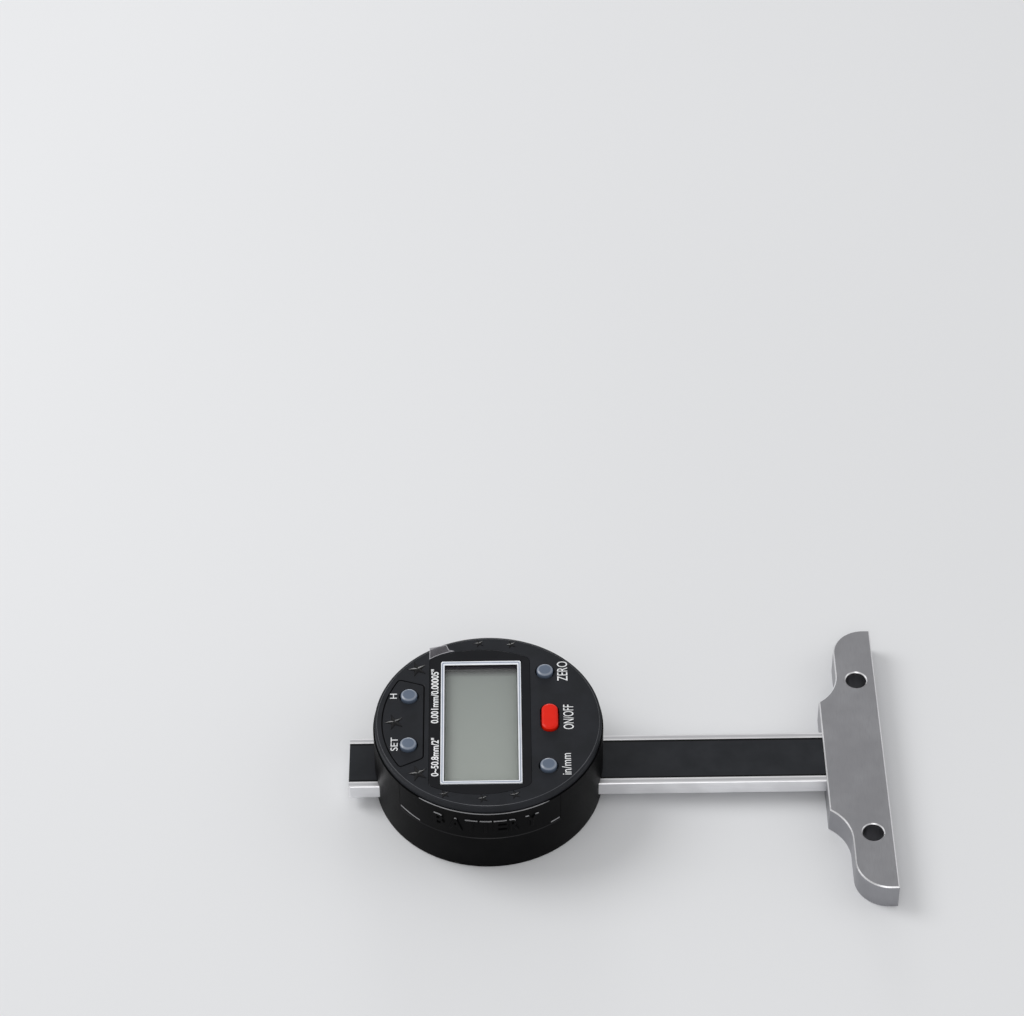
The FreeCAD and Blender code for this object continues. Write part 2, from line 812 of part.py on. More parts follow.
def rear_cover():
    radius = housing_radius - fit_gap
    disc = upright(0, 0, base_back, rear_cover_front, radius)
    disc = disc.makeChamfer(rear_cover_chamfer, edges_at_height(disc, base_back))
    lip_half = beam_half + beam_slot_gap - fit_gap
    lip_front = beam_back - beam_slot_gap
    lips = []
    for side in (-1, 1):
        block = box(min(0, side * housing_radius), max(0, side * housing_radius), -lip_half, lip_half,
                    rear_cover_front - fit_gap, lip_front)
        wall = upright(0, 0, rear_cover_front - fit_gap, lip_front, radius)
        wall = wall.cut(upright(0, 0, rear_cover_front - fit_gap, lip_front, housing_bore))
        lips.append(block.common(wall))
    cover = joined([disc] + lips)
    for x, y in rear_screw_places:
        cover = cover.cut(stepped(x, y, base_back, 1, rear_screw, upright))
    return place_on_head(cover)


def rear_cover_screws():
    screws = []
    for x, y in rear_screw_places:
        screws.append(screw(x, y, base_back, 1, rear_screw, upright))
    return [place_on_head(shape) for shape in screws]


# Battery tray with its curved door, and the cell

def battery_tray():
    inner = housing_bore + fit_gap
    door_back = tray_back
    door_front = seam - running_gap
    shrink = math.degrees(running_gap / housing_radius)
    door = ring_sector(inner, housing_radius, door_back, door_front, door_start() + shrink,
                       door_end() - shrink)
    for angle in (door_start(), door_end()):
        centre = on_circle(housing_radius, angle)
        notch = box(centre.x - door_notch_width, centre.x + door_notch_width,
                    centre.y - door_notch_width, centre.y + door_notch_width,
                    door_back - cut_overrun, door_back + door_notch_height)
        skin = upright(0, 0, door_back - cut_overrun, door_front, housing_radius + cut_overrun)
        skin = skin.cut(upright(0, 0, door_back - cut_overrun, door_front,
                                housing_radius - door_notch_depth))
        door = door.cut(notch.common(skin))
    wall_front = tray_front + tray_wall_height
    block = box(tray_left, tray_right, -housing_radius, tray_end, door_back, wall_front)
    block = block.common(upright(0, 0, door_back, wall_front, inner + housing_wall / 2))
    pocket = upright(tray_centre_x, cell_centre_y, tray_front, wall_front + cut_overrun,
                     cell_diameter / 2 + running_gap)
    half_notch = tray_notch_width / 2
    notch = box(tray_centre_x - half_notch, tray_centre_x + half_notch, cell_centre_y,
                tray_end + cut_overrun, tray_front, wall_front + cut_overrun)
    return place_on_head(joined([block, door]).cut([pocket, notch]))


def coin_cell():
    radius = cell_diameter / 2
    can = upright(tray_centre_x, cell_centre_y, tray_front, cell_front - cell_rim_drop, radius)
    cap = upright(tray_centre_x, cell_centre_y, cell_front - cell_rim_drop, cell_front,
                  radius - cell_rim_step)
    return place_on_head(joined([can, cap]))


def positive_contact():
    rim_y = cell_centre_y + cell_diameter / 2 + running_gap
    half = positive_contact_width / 2
    left = tray_centre_x - half
    right = tray_centre_x + half
    foot = box(left, right, rim_y, rim_y + positive_contact_foot, board_back - contact_thickness,
               board_back)
    leg = box(left, right, rim_y, rim_y + contact_thickness, board_back - positive_contact_reach,
              board_back)
    return place_on_head(joined([foot, leg]))


def negative_contact():
    half = negative_contact_width / 2
    foot_y = cell_centre_y + negative_contact_foot
    tip_y = foot_y - negative_contact_span
    tip_z = cell_front + running_gap
    thin = contact_thickness
    section = [
        (foot_y + negative_contact_foot, board_back),
        (foot_y + negative_contact_foot, board_back - thin),
        (foot_y, board_back - thin),
        (tip_y + thin, tip_z),
        (tip_y - 2 * thin, tip_z),
        (tip_y - 2 * thin, tip_z + thin),
        (tip_y + thin, tip_z + thin),
        (foot_y - thin, board_back),
    ]
    return place_on_head(profile_along_x(section, tray_centre_x - half, tray_centre_x + half))


# Boards and display

def main_board():
    board = upright(0, 0, board_back, board_front, housing_bore - board_gap)
    for x, y in cover_screw_places:
        board = board.cut(small_upright(x, y, board_back - cut_overrun, board_front + cut_overrun,
                                        cover_screw_radius + running_gap))
    return place_on_head(board)


def contact_strips():
    strips = []
    for x0 in (display_left, display_right - contact_strip_width):
        strip = box(x0, x0 + contact_strip_width, display_near, display_far, board_front, display_back)
        strips.append(place_on_head(strip))
    return strips


def display_cell():
    glass = display_glass_thickness
    rear = box(display_left, display_right, display_near, display_far, display_back,
               display_back + glass)
    front = box(display_left + display_ledge / 2, display_right - display_ledge / 2,
                display_near + display_ledge / 2, display_far - display_ledge / 2,
                display_back + glass, display_front - display_polariser_gap)
    return place_on_head(joined([rear, front]))


def display_holder():
    gap = running_gap
    outer = box(display_left - gap - holder_wall, display_right + gap + holder_wall,
                display_near - gap - holder_wall, display_far + gap + holder_wall,
                board_front, seam - fit_gap)
    inner = box(display_left - gap, display_right + gap, display_near - gap, display_far + gap,
                board_front - cut_overrun, seam + cut_overrun)
    return place_on_head(outer.cut(inner))


# Front cover, lens panel and window

def lens_edges(inset):
    """Outline of the lens panel, moved inwards by the inset; its far and near sides are flat arcs."""
    rise = lens_rise - inset
    left = lens_left + inset
    right = lens_right - inset
    corner = rise - lens_arc_radius + math.sqrt((lens_arc_radius - inset) ** 2 - (right - lens_middle) ** 2)
    corner += inset
    return [
        line(V(left, -corner, 0), V(left, corner, 0)),
        arc(V(left, corner, 0), V(lens_middle, rise, 0), V(right, corner, 0)),
        line(V(right, corner, 0), V(right, -corner, 0)),
        arc(V(right, -corner, 0), V(lens_middle, -rise, 0), V(left, -corner, 0)),
    ]


def upright_edges(shape, z0, z1):
    found = []
    for edge in shape.Edges:
        limits = edge.BoundBox
        if limits.XLength < fit_gap and limits.YLength < fit_gap and limits.ZLength > (z1 - z0) / 2:
            found.append(edge)
    return found


def lens_block(inset, z0, z1):
    block = raised(lens_edges(inset), z0, z1)
    return block.makeFillet(lens_corner_radius, upright_edges(block, z0, z1))


def frame_opening(gap):
    return box(frame_left - gap, frame_right + gap, frame_near - gap, frame_far + gap,
               lens_back, face + cut_overrun)


def shield_face(inset):
    """Outline of the channel's outer edge, moved inwards by the inset."""
    corners = [V(x * cover_radius, y * cover_radius, 0) for x, y in shield_corner_shares]
    edges = [line(a, b) for a, b in zip(corners, corners[1:])]
    edges.append(arc(corners[-1], V(-shield_arc_radius, 0, 0), corners[0]))
    wire = Part.Wire(Part.__sortEdges__(edges))
    if inset:
        wire = wire.makeOffset2D(-inset)
    return Part.Face(wire)


def shield_groove():
    band = shield_face(0).cut(shield_face(shield_groove_width))
    band.translate(V(0, 0, face - shield_groove_depth))
    return band.extrude(V(0, 0, shield_groove_depth + cut_overrun))


def star(x, y, radius):
    """Five-pointed star with ridges from a raised middle, standing on the cover's face."""
    foot = face - star_sink
    middle = V(x, y, face + star_height)
    ring = []
    corners = 2 * star_points
    for number in range(corners):
        reach = radius if number % 2 == 0 else radius * star_waist_share
        turn = math.radians(star_point_angle + 360 * number / corners)
        ring.append(V(x + reach * math.cos(turn), y + reach * math.sin(turn), foot))
    faces = [Part.Face(Part.makePolygon(ring + ring[:1]))]
    for number in range(corners):
        a = ring[number]
        b = ring[(number + 1) % corners]
        faces.append(Part.Face(Part.makePolygon([a, b, middle, a])))
    solid = Part.makeSolid(Part.makeShell(faces))
    if solid.Volume < 0:
        solid.reverse()
    return solid


def stars():
    shapes = [star(x, y, large_star_share * cover_radius) for x, y in large_stars]
    for angle, rim_share in small_star_rim_places:
        centre = on_circle(lens_rise + rim_share * rim_width, angle)
        shapes.append(star(centre.x, centre.y, small_star_radius))
    return shapes


def button_sizes():
    """Places, widths and lengths of all five buttons by name."""
    shares = {
        "zero_button": zero_button_shares,
        "on_off_button": power_button_shares,
        "unit_button": unit_button_shares,
        "hold_button": hold_button_shares,
        "set_button": set_button_shares,
    }
    sizes = {}
    for name, (x, y) in shares.items():
        sizes[name] = ((x * cover_radius, y * cover_radius), 2 * button_radius, 2 * button_radius)
    power_place = sizes["on_off_button"][0]
    sizes["on_off_button"] = (power_place, power_button_width, power_button_length)
    return sizes


def button_solid(place, width, length, grow, z0, z1):
    x, y = place
    if length == width:
        return upright(x, y, z0, z1, width / 2 + grow)
    return rounded_slab(x, y, width + 2 * grow, length + 2 * grow, z0, z1)


def front_cover():
    rim_z = face - cover_rim_drop
    rim = Part.makeCone(cover_radius, cover_radius - cover_rim_width, cover_rim_drop, V(0, 0, rim_z))
    solids = [upright(0, 0, seam, rim_z, cover_radius), rim]
    for x, y in cover_screw_places:
        solids.append(small_upright(x, y, board_front, seam, post_radius))
    cover = joined(solids)
    margin = pane_margin
    cuts = [
        lens_block(0, lens_back, face + cut_overrun),
        box(window_left - margin, window_right + margin, window_near - margin, window_far + margin,
            seam - cut_overrun, face + cut_overrun),
        shield_groove(),
    ]
    for place, width, length in button_sizes().values():
        cuts.append(button_solid(place, width, length, button_gap, seam - cut_overrun,
                                 face + cut_overrun))
    for x, y in cover_screw_places:
        cuts.append(small_upright(x, y, board_front - cut_overrun, board_front + cover_screw_bite,
                                  cover_screw_radius))
    cover = cover.cut(cuts)
    return place_on_head(cover.fuse(stars()))


def cover_screws():
    screws = []
    for x, y in cover_screw_places:
        screws.append(screw(x, y, deck_front, 1, cover_screw, small_upright))
    return [place_on_head(shape) for shape in screws]


def lens_panel():
    panel = lens_block(fit_gap, lens_back, face)
    return place_on_head(panel.cut(frame_opening(fit_gap)))


def window_frame():
    top = face + frame_proud
    frame = box(frame_left, frame_right, frame_near, frame_far, lens_back, top)
    frame = frame.makeChamfer(frame_bevel, edges_at_height(frame, top))
    opening = box(window_left, window_right, window_near, window_far, lens_back - cut_overrun,
                  top + cut_overrun)
    return place_on_head(frame.cut(opening))


def window_pane():
    margin = pane_margin - fit_gap
    back = seam
    pane = box(window_left - margin, window_right + margin, window_near - margin, window_far + margin,
               back, back + pane_thickness)
    return place_on_head(pane)


# Buttons and the rubber pad under them

def button(name):
    place, width, length = button_sizes()[name]
    stem = button_solid(place, width, length, 0, flange_front, button_front)
    stem = stem.makeChamfer(button_crown, edges_at_height(stem, button_front))
    x, y = place
    half = width / 2 + button_flange_reach
    reach = length / 2 + button_flange_reach
    flange = box(x - half, x + half, y - reach, y + reach, flange_rear, flange_front)
    return place_on_head(joined([stem, flange]))


def pad_sheet(names):
    """One rubber sheet with a dome under each button named."""
    sizes = button_sizes()
    places = [sizes[name][0] for name in names]
    reach = button_radius + pad_margin
    left = min(x for x, y in places) - reach
    right = max(x for x, y in places) + reach
    near = min(y for x, y in places) - reach
    far = max(y for x, y in places) + reach
    sheet_front = board_front + pad_sheet_thickness
    solids = [box(left, right, near, far, board_front, sheet_front)]
    for x, y in places:
        solids.append(small_upright(x, y, board_front, pad_front, pad_dome_radius))
    return place_on_head(joined(solids))


def button_pads():
    return [
        pad_sheet(("zero_button", "on_off_button", "unit_button")),
        pad_sheet(("hold_button", "set_button")),
    ]


# Nodes of the assembly

def nodes():
    built = {
        "beam": beam(),
        "scale_strip": scale_strip(),
        "base_plate": base_plate(),
        "base_clamp": base_clamp(),
        "base_screws": base_screws(),
        "stop_screw": stop_screw(),
        "carriage": carriage(),
        "carriage_plate": carriage_plate(),
        "carriage_plate_screws": carriage_plate_screws(),
        "depth_rod": depth_rod(),
        "rod_clamp": rod_clamp(),
        "rod_clamp_screws": rod_clamp_screws(),
        "gib_strip": gib_strip(),
        "gib_screws": gib_screws(),
        "lock_screw": lock_screw(),
        "sensor_board": sensor_board(),
        "board_link": board_link(),
        "housing": housing(),
        "carriage_screws": carriage_screws(),
        "rear_cover": rear_cover(),
        "rear_cover_screws": rear_cover_screws(),
        "battery_tray": battery_tray(),
        "coin_cell": coin_cell(),
        "positive_contact": positive_contact(),
        "negative_contact": negative_contact(),
        "main_board": main_board(),
        "contact_strips": contact_strips(),
        "display_cell": display_cell(),
        "display_holder": display_holder(),
        "front_cover": front_cover(),
        "cover_screws": cover_screws(),
        "lens_panel": lens_panel(),
        "window_frame": window_frame(),
        "window_pane": window_pane(),
        "button_pads": button_pads(),
    }
    for name in button_sizes():
        built[name] = button(name)
    return built


os.makedirs("parts", exist_ok=True)
for name, shape in nodes().items():
    solids = shape if isinstance(shape, list) else shape.Solids
    whole = solids[0] if len(solids) == 1 else Part.makeCompound(solids)
    if not whole.isValid():
        print("not valid:", name)
    whole.exportStep(f"parts/{name}.step")
    print(name, len(solids), "solids", round(whole.Volume, 2), "mm3")
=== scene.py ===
import math
import bmesh
import bpy
from mathutils import Matrix, Vector


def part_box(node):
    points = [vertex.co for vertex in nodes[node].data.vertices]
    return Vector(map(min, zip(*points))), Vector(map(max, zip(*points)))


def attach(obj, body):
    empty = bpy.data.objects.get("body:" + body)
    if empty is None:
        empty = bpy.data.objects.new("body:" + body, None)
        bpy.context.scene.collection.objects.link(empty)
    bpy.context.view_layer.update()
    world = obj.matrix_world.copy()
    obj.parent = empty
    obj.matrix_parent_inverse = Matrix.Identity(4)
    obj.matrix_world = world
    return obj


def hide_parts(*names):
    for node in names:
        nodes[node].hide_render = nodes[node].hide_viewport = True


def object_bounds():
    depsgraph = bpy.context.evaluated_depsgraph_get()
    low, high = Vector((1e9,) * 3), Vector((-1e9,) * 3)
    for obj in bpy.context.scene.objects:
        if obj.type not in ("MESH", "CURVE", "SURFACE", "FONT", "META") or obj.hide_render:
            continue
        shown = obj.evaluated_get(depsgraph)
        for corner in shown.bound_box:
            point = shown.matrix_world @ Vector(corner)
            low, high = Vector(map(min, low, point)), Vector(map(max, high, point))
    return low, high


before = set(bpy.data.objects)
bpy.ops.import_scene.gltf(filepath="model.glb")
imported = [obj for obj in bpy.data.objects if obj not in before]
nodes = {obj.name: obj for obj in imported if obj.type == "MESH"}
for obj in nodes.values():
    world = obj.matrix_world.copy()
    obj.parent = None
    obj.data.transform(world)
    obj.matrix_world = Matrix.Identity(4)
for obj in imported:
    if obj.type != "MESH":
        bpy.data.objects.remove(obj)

cad_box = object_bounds()

# Beam. A flat bar of ground stainless steel, milled with a recess for the scale in front and a groove for
# the depth rod behind. Its two edge strips are lapped until they shine. Along the middle of each, a darker
# line is painted as painted shade, so that the strip's edges read as highlights.

beam_steel = (250, 250, 252)
beam_line_painted_shades = (206, 206, 209), (210, 210, 213)
beam_line_half = 0.00034
beam_line_blur = 0.0001
scratch_depth = 0.0000012
stain_size = 0.009
stain_share = 0.93
cloud_size = 0.006


def screen(red, green, blue):
    """Colour as a screen shows it, from 0 to 255, turned into the linear values that a shader takes."""
    linear = []
    for value in (red, green, blue):
        share = value / 255
        linear.append(share / 12.92 if share <= 0.04045 else ((share + 0.055) / 1.055) ** 2.4)
    return (*linear, 1.0)


def new_finish(name, metallic, roughness):
    """A material and its shader, for a pattern and a relief to be wired to."""
    made = bpy.data.materials.new(name)
    made.use_nodes = True
    shader = made.node_tree.nodes["Principled BSDF"]
    shader.inputs["Metallic"].default_value = metallic
    shader.inputs["Roughness"].default_value = roughness
    return made, shader


def spots(made, length, width=None, depth=None, detail=3.0):
    """Cloudy pattern whose spots are that long along X, and as wide along Y and deep along Z unless told."""
    tree = made.node_tree
    where = tree.nodes.new("ShaderNodeTexCoord")
    spread = tree.nodes.new("ShaderNodeMapping")
    cloud = tree.nodes.new("ShaderNodeTexNoise")
    spread.inputs["Scale"].default_value = (1 / length, 1 / (width or length), 1 / (depth or length))
    cloud.inputs["Scale"].default_value = 1.0
    cloud.inputs["Detail"].default_value = detail
    tree.links.new(where.outputs["Object"], spread.inputs["Vector"])
    tree.links.new(spread.outputs["Vector"], cloud.inputs["Vector"])
    return cloud.outputs["Fac"]


def coloured(made, pattern, low, high, first, second):
    """Colour that goes from first to second while the pattern goes from low to high."""
    ramp = made.node_tree.nodes.new("ShaderNodeValToRGB")
    ramp.color_ramp.elements[0].position = low
    ramp.color_ramp.elements[0].color = first
    ramp.color_ramp.elements[1].position = high
    ramp.color_ramp.elements[1].color = second
    made.node_tree.links.new(pattern, ramp.inputs["Fac"])
    return ramp.outputs["Color"]


def measured(made, pattern, low, high, first, second):
    """Number that goes from first to second while the pattern goes from low to high."""
    span = made.node_tree.nodes.new("ShaderNodeMapRange")
    span.inputs["From Min"].default_value = low
    span.inputs["From Max"].default_value = high
    span.inputs["To Min"].default_value = first
    span.inputs["To Max"].default_value = second
    made.node_tree.links.new(pattern, span.inputs["Value"])
    return span.outputs["Result"]


def mixed(made, share, first, second):
    """First colour where the share is 0 and second where it is 1, each made by a pattern."""
    blend = made.node_tree.nodes.new("ShaderNodeMix")
    blend.data_type = "RGBA"
    for source, name in ((share, "Factor"), (first, "A"), (second, "B")):
        made.node_tree.links.new(source, blend.inputs[name])
    return blend.outputs["Result"]


def relief(made, shader, pattern, depth):
    """Relief that follows the pattern, depth metres from its lowest to its highest."""
    bump = made.node_tree.nodes.new("ShaderNodeBump")
    bump.inputs["Distance"].default_value = depth
    made.node_tree.links.new(pattern, bump.inputs["Height"])
    made.node_tree.links.new(bump.outputs["Normal"], shader.inputs["Normal"])


def wire(made, source, shader, name):
    """Lets a pattern's number or colour set one of the shader's values."""
    made.node_tree.links.new(source, shader.inputs[name])


def ground_steel(name, shade, length, width, depth, smooth, rough):
    """Steel ground in one direction: fine scratches with spots of those sizes, and a faint cloudy stain."""
    made, shader = new_finish(name, metallic=1.0, roughness=smooth)
    grain = spots(made, length, width, depth)
    cloud = spots(made, stain_size, detail=2.0)
    bright = screen(*shade)
    dull = screen(*[value * stain_share for value in shade])
    first = coloured(made, grain, 0.35, 0.65, dull, bright)
    second = coloured(made, cloud, 0.4, 0.6, dull, bright)
    wire(made, mixed(made, grain, first, second), shader, "Base Color")
    wire(made, measured(made, grain, 0.3, 0.7, smooth, rough), shader, "Roughness")
    relief(made, shader, grain, scratch_depth)
    return made


def across_beam(made, start, end, first=0.0, second=1.0):
    """Number that goes from first to second between two distances from the beam's middle line."""
    tree = made.node_tree
    where = tree.nodes.new("ShaderNodeTexCoord")
    parts = tree.nodes.new("ShaderNodeSeparateXYZ")
    tree.links.new(where.outputs["Object"], parts.inputs["Vector"])
    return measured(made, parts.outputs["Y"], start, end, first, second)


def band(made, start, end, blur):
    """Share that is 1 between two distances from the beam's middle line and 0 past them."""
    way = math.copysign(blur, end - start)
    both = made.node_tree.nodes.new("ShaderNodeMath")
    both.operation = "MULTIPLY"
    made.node_tree.links.new(across_beam(made, start - way, start), both.inputs[0])
    made.node_tree.links.new(across_beam(made, end, end + way, 1.0, 0.0), both.inputs[1])
    return both.outputs["Value"]


def repainted(made, share, dark, light):
    """Lays a second shade over a finish where the share is 1."""
    shader = made.node_tree.nodes["Principled BSDF"]
    first = shader.inputs["Base Color"].links[0].from_socket
    second = coloured(made, spots(made, cloud_size), 0.35, 0.65, screen(*dark), screen(*light))
    wire(made, mixed(made, share, first, second), shader, "Base Color")


def paint_node(name, made):
    """Gives a CAD node's slots the finish."""
    for place in nodes[name].material_slots:
        place.material = made


beam_finish = ground_steel("ground_beam_steel", beam_steel,
                           length=0.004, width=0.00006, depth=0.00006, smooth=0.34, rough=0.44)
strip_middle = (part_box("beam")[1].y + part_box("scale_strip")[1].y) / 2
# Painted shade: a darker line along the middle of each edge strip.
for side in (-1, 1):
    line = band(beam_finish, side * (strip_middle - beam_line_half), side * (strip_middle + beam_line_half),
                beam_line_blur)
    repainted(beam_finish, line, *beam_line_painted_shades)
paint_node("beam", beam_finish)

# Scale strip. A thin glass-fibre board with the copper pattern of the measuring scale, under a dark film that
# is glued into the recess of the beam.

scale_shades = (32, 34, 38), (39, 41, 45)
scale_border_shades = (3, 3, 4), (6, 6, 7)
scale_border = 0.00052
scale_border_blur = 0.00003


def moulded_plastic(name, dark, light, grain, depth, smooth, rough, gloss=0.15):
    """Plastic with the fine matt grain of its mould, grain metres across, and a faint change of shade."""
    made, shader = new_finish(name, metallic=0.0, roughness=smooth)
    fine = spots(made, grain, detail=2.0)
    cloud = spots(made, cloud_size)
    wire(made, coloured(made, cloud, 0.35, 0.65, screen(*dark), screen(*light)), shader, "Base Color")
    wire(made, measured(made, fine, 0.3, 0.7, smooth, rough), shader, "Roughness")
    shader.inputs["Specular IOR Level"].default_value = gloss
    relief(made, shader, fine, depth)
    return made


scale_finish = moulded_plastic("scale_film", *scale_shades,
                               grain=0.00012, depth=0.000002, smooth=0.34, rough=0.46)
scale_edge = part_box("scale_strip")[1].y - scale_border
for side in (-1, 1):
    border = across_beam(scale_finish, side * scale_edge, side * (scale_edge + scale_border_blur))
    repainted(scale_finish, border, *scale_border_shades)
paint_node("scale_strip", scale_finish)

# Base. A wide plate of hardened stainless steel with the measuring face along its right edge, ground on all
# sides, with two holes for an extension base. Its chamfers and the flares of its holes are painted lighter
# than its face, a painted highlight.

base_low, base_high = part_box("base_plate")
base_half = base_high.y
base_arm_depth = 0.0099
base_hub_depth = -base_low.x
base_hub_half = 0.0178
base_flare_radius = 0.0111
base_tip_radius = 0.008
base_chamfer = 0.0003
base_hole_radius = 0.0026
base_hole_flare = 0.00026
base_hole_setback = 0.00485
base_hole_half_spacing = 0.025
base_pocket_wall = 0.003
base_pocket_half = 0.00805
base_pocket_top = 0.00117
rod_bore_radius = 0.0008
overrun = 0.001
base_shade = (166, 166, 170)
base_edge_highlight_shade = (240, 240, 242)
sharp_angle = math.radians(32)


def arc(x, y, radius, start, end, steps):
    """Points of an arc about x, y from start to end in degrees, both ends included."""
    points = []
    for number in range(steps + 1):
        turn = math.radians(start + (end - start) * number / steps)
        points.append((x + radius * math.cos(turn), y + radius * math.sin(turn)))
    return points


def circle(x, y, radius, steps=96):
    """Points of a whole circle, each once."""
    return arc(x, y, radius, 0, 360, steps)[:-1]


def inset(points, amount):
    """Closed outline, counterclockwise, moved inwards by the amount, or outwards if it is negative."""
    moved = []
    for number, here in enumerate(points):
        before = Vector(points[number - 1])
        after = Vector(points[(number + 1) % len(points)])
        here = Vector(here)
        come = (here - before).normalized()
        go = (after - here).normalized()
        first = Vector((-come.y, come.x))
        second = Vector((-go.y, go.x))
        mitre = (first + second) / (1 + first.dot(second))
        moved.append(tuple(here + mitre * amount))
    return moved


def rounded_edges(low, high, low_edge, high_edge, steps=4):
    """Insets and heights of a wall from low to high whose two edges are rounded by those radii."""
    rows = []
    if low_edge:
        for number in range(steps + 1):
            turn = math.pi / 2 * number / steps
            rows.append((low_edge * (1 - math.sin(turn)), low + low_edge * (1 - math.cos(turn))))
    else:
        rows.append((0, low))
    if high_edge:
        for number in range(steps + 1):
            turn = math.pi / 2 * number / steps
            rows.append((high_edge * (1 - math.cos(turn)), high - high_edge * (1 - math.sin(turn))))
    else:
        rows.append((0, high))
    return rows


def as_piece(name, shape):
    """Object in the scene that takes over the finished shape as its mesh."""
    mesh = bpy.data.meshes.new(name)
    shape.to_mesh(mesh)
    shape.free()
    piece = bpy.data.objects.new(name, mesh)
    bpy.context.scene.collection.objects.link(piece)
    return piece


def lofted(name, loops, ring=False, trim=()):
    """Closed mesh through loops of points, where a ring joins its last loop to its first instead of capping.
    The bands in the first group of trim get the piece's second finish, those in the next its third."""
    finishes = {number: index for index, numbers in enumerate(trim, 1) for number in numbers}
    shape = bmesh.new()
    rows = [[shape.verts.new(point) for point in loop] for loop in loops]
    pairs = list(zip(rows, rows[1:]))
    if ring:
        pairs.append((rows[-1], rows[0]))
    for band_number, (low, high) in enumerate(pairs):
        for number in range(len(low)):
            after = (number + 1) % len(low)
            side = shape.faces.new((low[number], low[after], high[after], high[number]))
            side.material_index = finishes.get(band_number, 0)
    if not ring:
        shape.faces.new(list(reversed(rows[0])))
        shape.faces.new(rows[-1])
    bmesh.ops.recalc_face_normals(shape, faces=shape.faces)
    return as_piece(name, shape)


def turned_to(axes, across, up, along):
    """Point whose two outline coordinates and length lie along the three axes named."""
    point = [0.0, 0.0, 0.0]
    for axis, value in zip(axes, (across, up, along)):
        point["xyz".index(axis)] = value
    return tuple(point)


def prism(name, points, rows, axes="xyz", trim=()):
    """Closed mesh with the outline given, inset and placed along the third axis as rows say."""
    loops = []
    for amount, along in rows:
        loops.append([turned_to(axes, across, up, along) for across, up in inset(points, amount)])
    return lofted(name, loops, trim=trim)


def block(name, low, high, edge=0.0):
    """Box between two corners, with its edges rounded all round the upright outline."""
    outline = [(low[0], low[1]), (high[0], low[1]), (high[0], high[1]), (low[0], high[1])]
    return prism(name, outline, rounded_edges(low[2], high[2], edge, edge))


def combine(piece, operation, others):
    """Cuts the others away from the piece, or joins them to it, and keeps only the piece."""
    for other in others:
        step = piece.modifiers.new(other.name, "BOOLEAN")
        step.operation = operation
        step.solver = "EXACT"
        step.object = other
    graph = bpy.context.evaluated_depsgraph_get()
    result = bpy.data.meshes.new_from_object(piece.evaluated_get(graph))
    piece.modifiers.clear()
    piece.data = result
    for other in others:
        bpy.data.objects.remove(other)
    return piece


def cut(piece, others):
    """The piece with the others cut out of it."""
    return combine(piece, "DIFFERENCE", others)


def fuse(piece, others):
    """The piece and the others as one mesh."""
    return combine(piece, "UNION", others)


def dress(piece, body, made, stands_for=(), trim=(), flat=False, sharp=sharp_angle):
    """Gives a piece its finishes, shading and body, and hides the nodes that it stands for."""
    for finish in (made, *trim):
        piece.data.materials.append(finish)
    if flat:
        piece.data.shade_flat()
    else:
        piece.data.shade_smooth()
        piece.data.set_sharp_from_angle(angle=sharp)
        weights = piece.modifiers.new("weights", "WEIGHTED_NORMAL")
        weights.keep_sharp = True
    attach(piece, body)
    if stands_for:
        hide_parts(*stands_for)
    return piece


def base_outline():
    """Outline of the base, counterclockwise from the near end of the measuring face."""
    flare_run = base_flare_radius - (base_hub_depth - base_arm_depth)
    flare_rise = math.sqrt(base_flare_radius ** 2 - flare_run ** 2)
    flare_end = math.degrees(math.atan2(flare_rise, flare_run))
    flare_x = -base_arm_depth - base_flare_radius
    flare_y = base_hub_half + flare_rise
    tip_x = base_tip_radius - base_arm_depth
    tip_y = base_half - base_tip_radius
    far = [(0.0, base_half)]
    far += arc(tip_x, tip_y, base_tip_radius, 90, 180, 24)
    far += arc(flare_x, flare_y, base_flare_radius, 0, -flare_end, 18)
    near = [(x, -y) for x, y in reversed(far)]
    return far + near


def flared_hole(name, x, y, radius, flare, low, high):
    """Cutter for an upright hole with a flared upper edge, past both faces of its plate."""
    rows = [(0, low - overrun), (0, high - flare), (-flare, high), (-flare, high + overrun)]
    return prism(name, circle(x, y, radius, 64), rows, trim=[(1,)])


base = prism("base_plate_steel", base_outline(), [
    (base_chamfer, base_low.z),
    (0, base_low.z + base_chamfer),
    (0, base_high.z - base_chamfer),
    (base_chamfer, base_high.z),
], trim=[(0, 2)])
base_cutters = [
    block("pocket", (base_low.x - overrun, -base_pocket_half, base_low.z - overrun),
          (-base_pocket_wall, base_pocket_half, base_pocket_top)),
    prism("bore", circle(0, 0, rod_bore_radius, 48),
          [(0, -base_pocket_wall - overrun), (0, overrun)], "yzx"),
]
for side in (-1, 1):
    base_cutters.append(flared_hole(f"hole_{side}", -base_hole_setback, side * base_hole_half_spacing,
                                    base_hole_radius, base_hole_flare, base_low.z, base_high.z))
cut(base, base_cutters)
base_finish = ground_steel("satin_base_steel", base_shade,
                           length=0.00012, width=0.0022, depth=0.0022, smooth=0.34, rough=0.46)
# Painted highlight: the chamfers and the hole flares get a lighter, smoother steel than the face.
base_edge_highlight_finish = ground_steel("painted_highlight_base_edge", base_edge_highlight_shade,
                                length=0.0004, width=0.0004, depth=0.0004, smooth=0.3, rough=0.4)
dress(base, "beam_and_base", base_finish, ["base_plate"], trim=[base_edge_highlight_finish])

# Base clamp and its screws. A steel plate holds the beam's tongue in the pocket on the back of the base, with
# two cross-recess screws of bright steel.

screw_shade = (188, 189, 192)
screw_sides = 48
recess_share = 0.55
recess_width_share = 0.2
recess_depth_share = 0.6
edge_share = 0.12


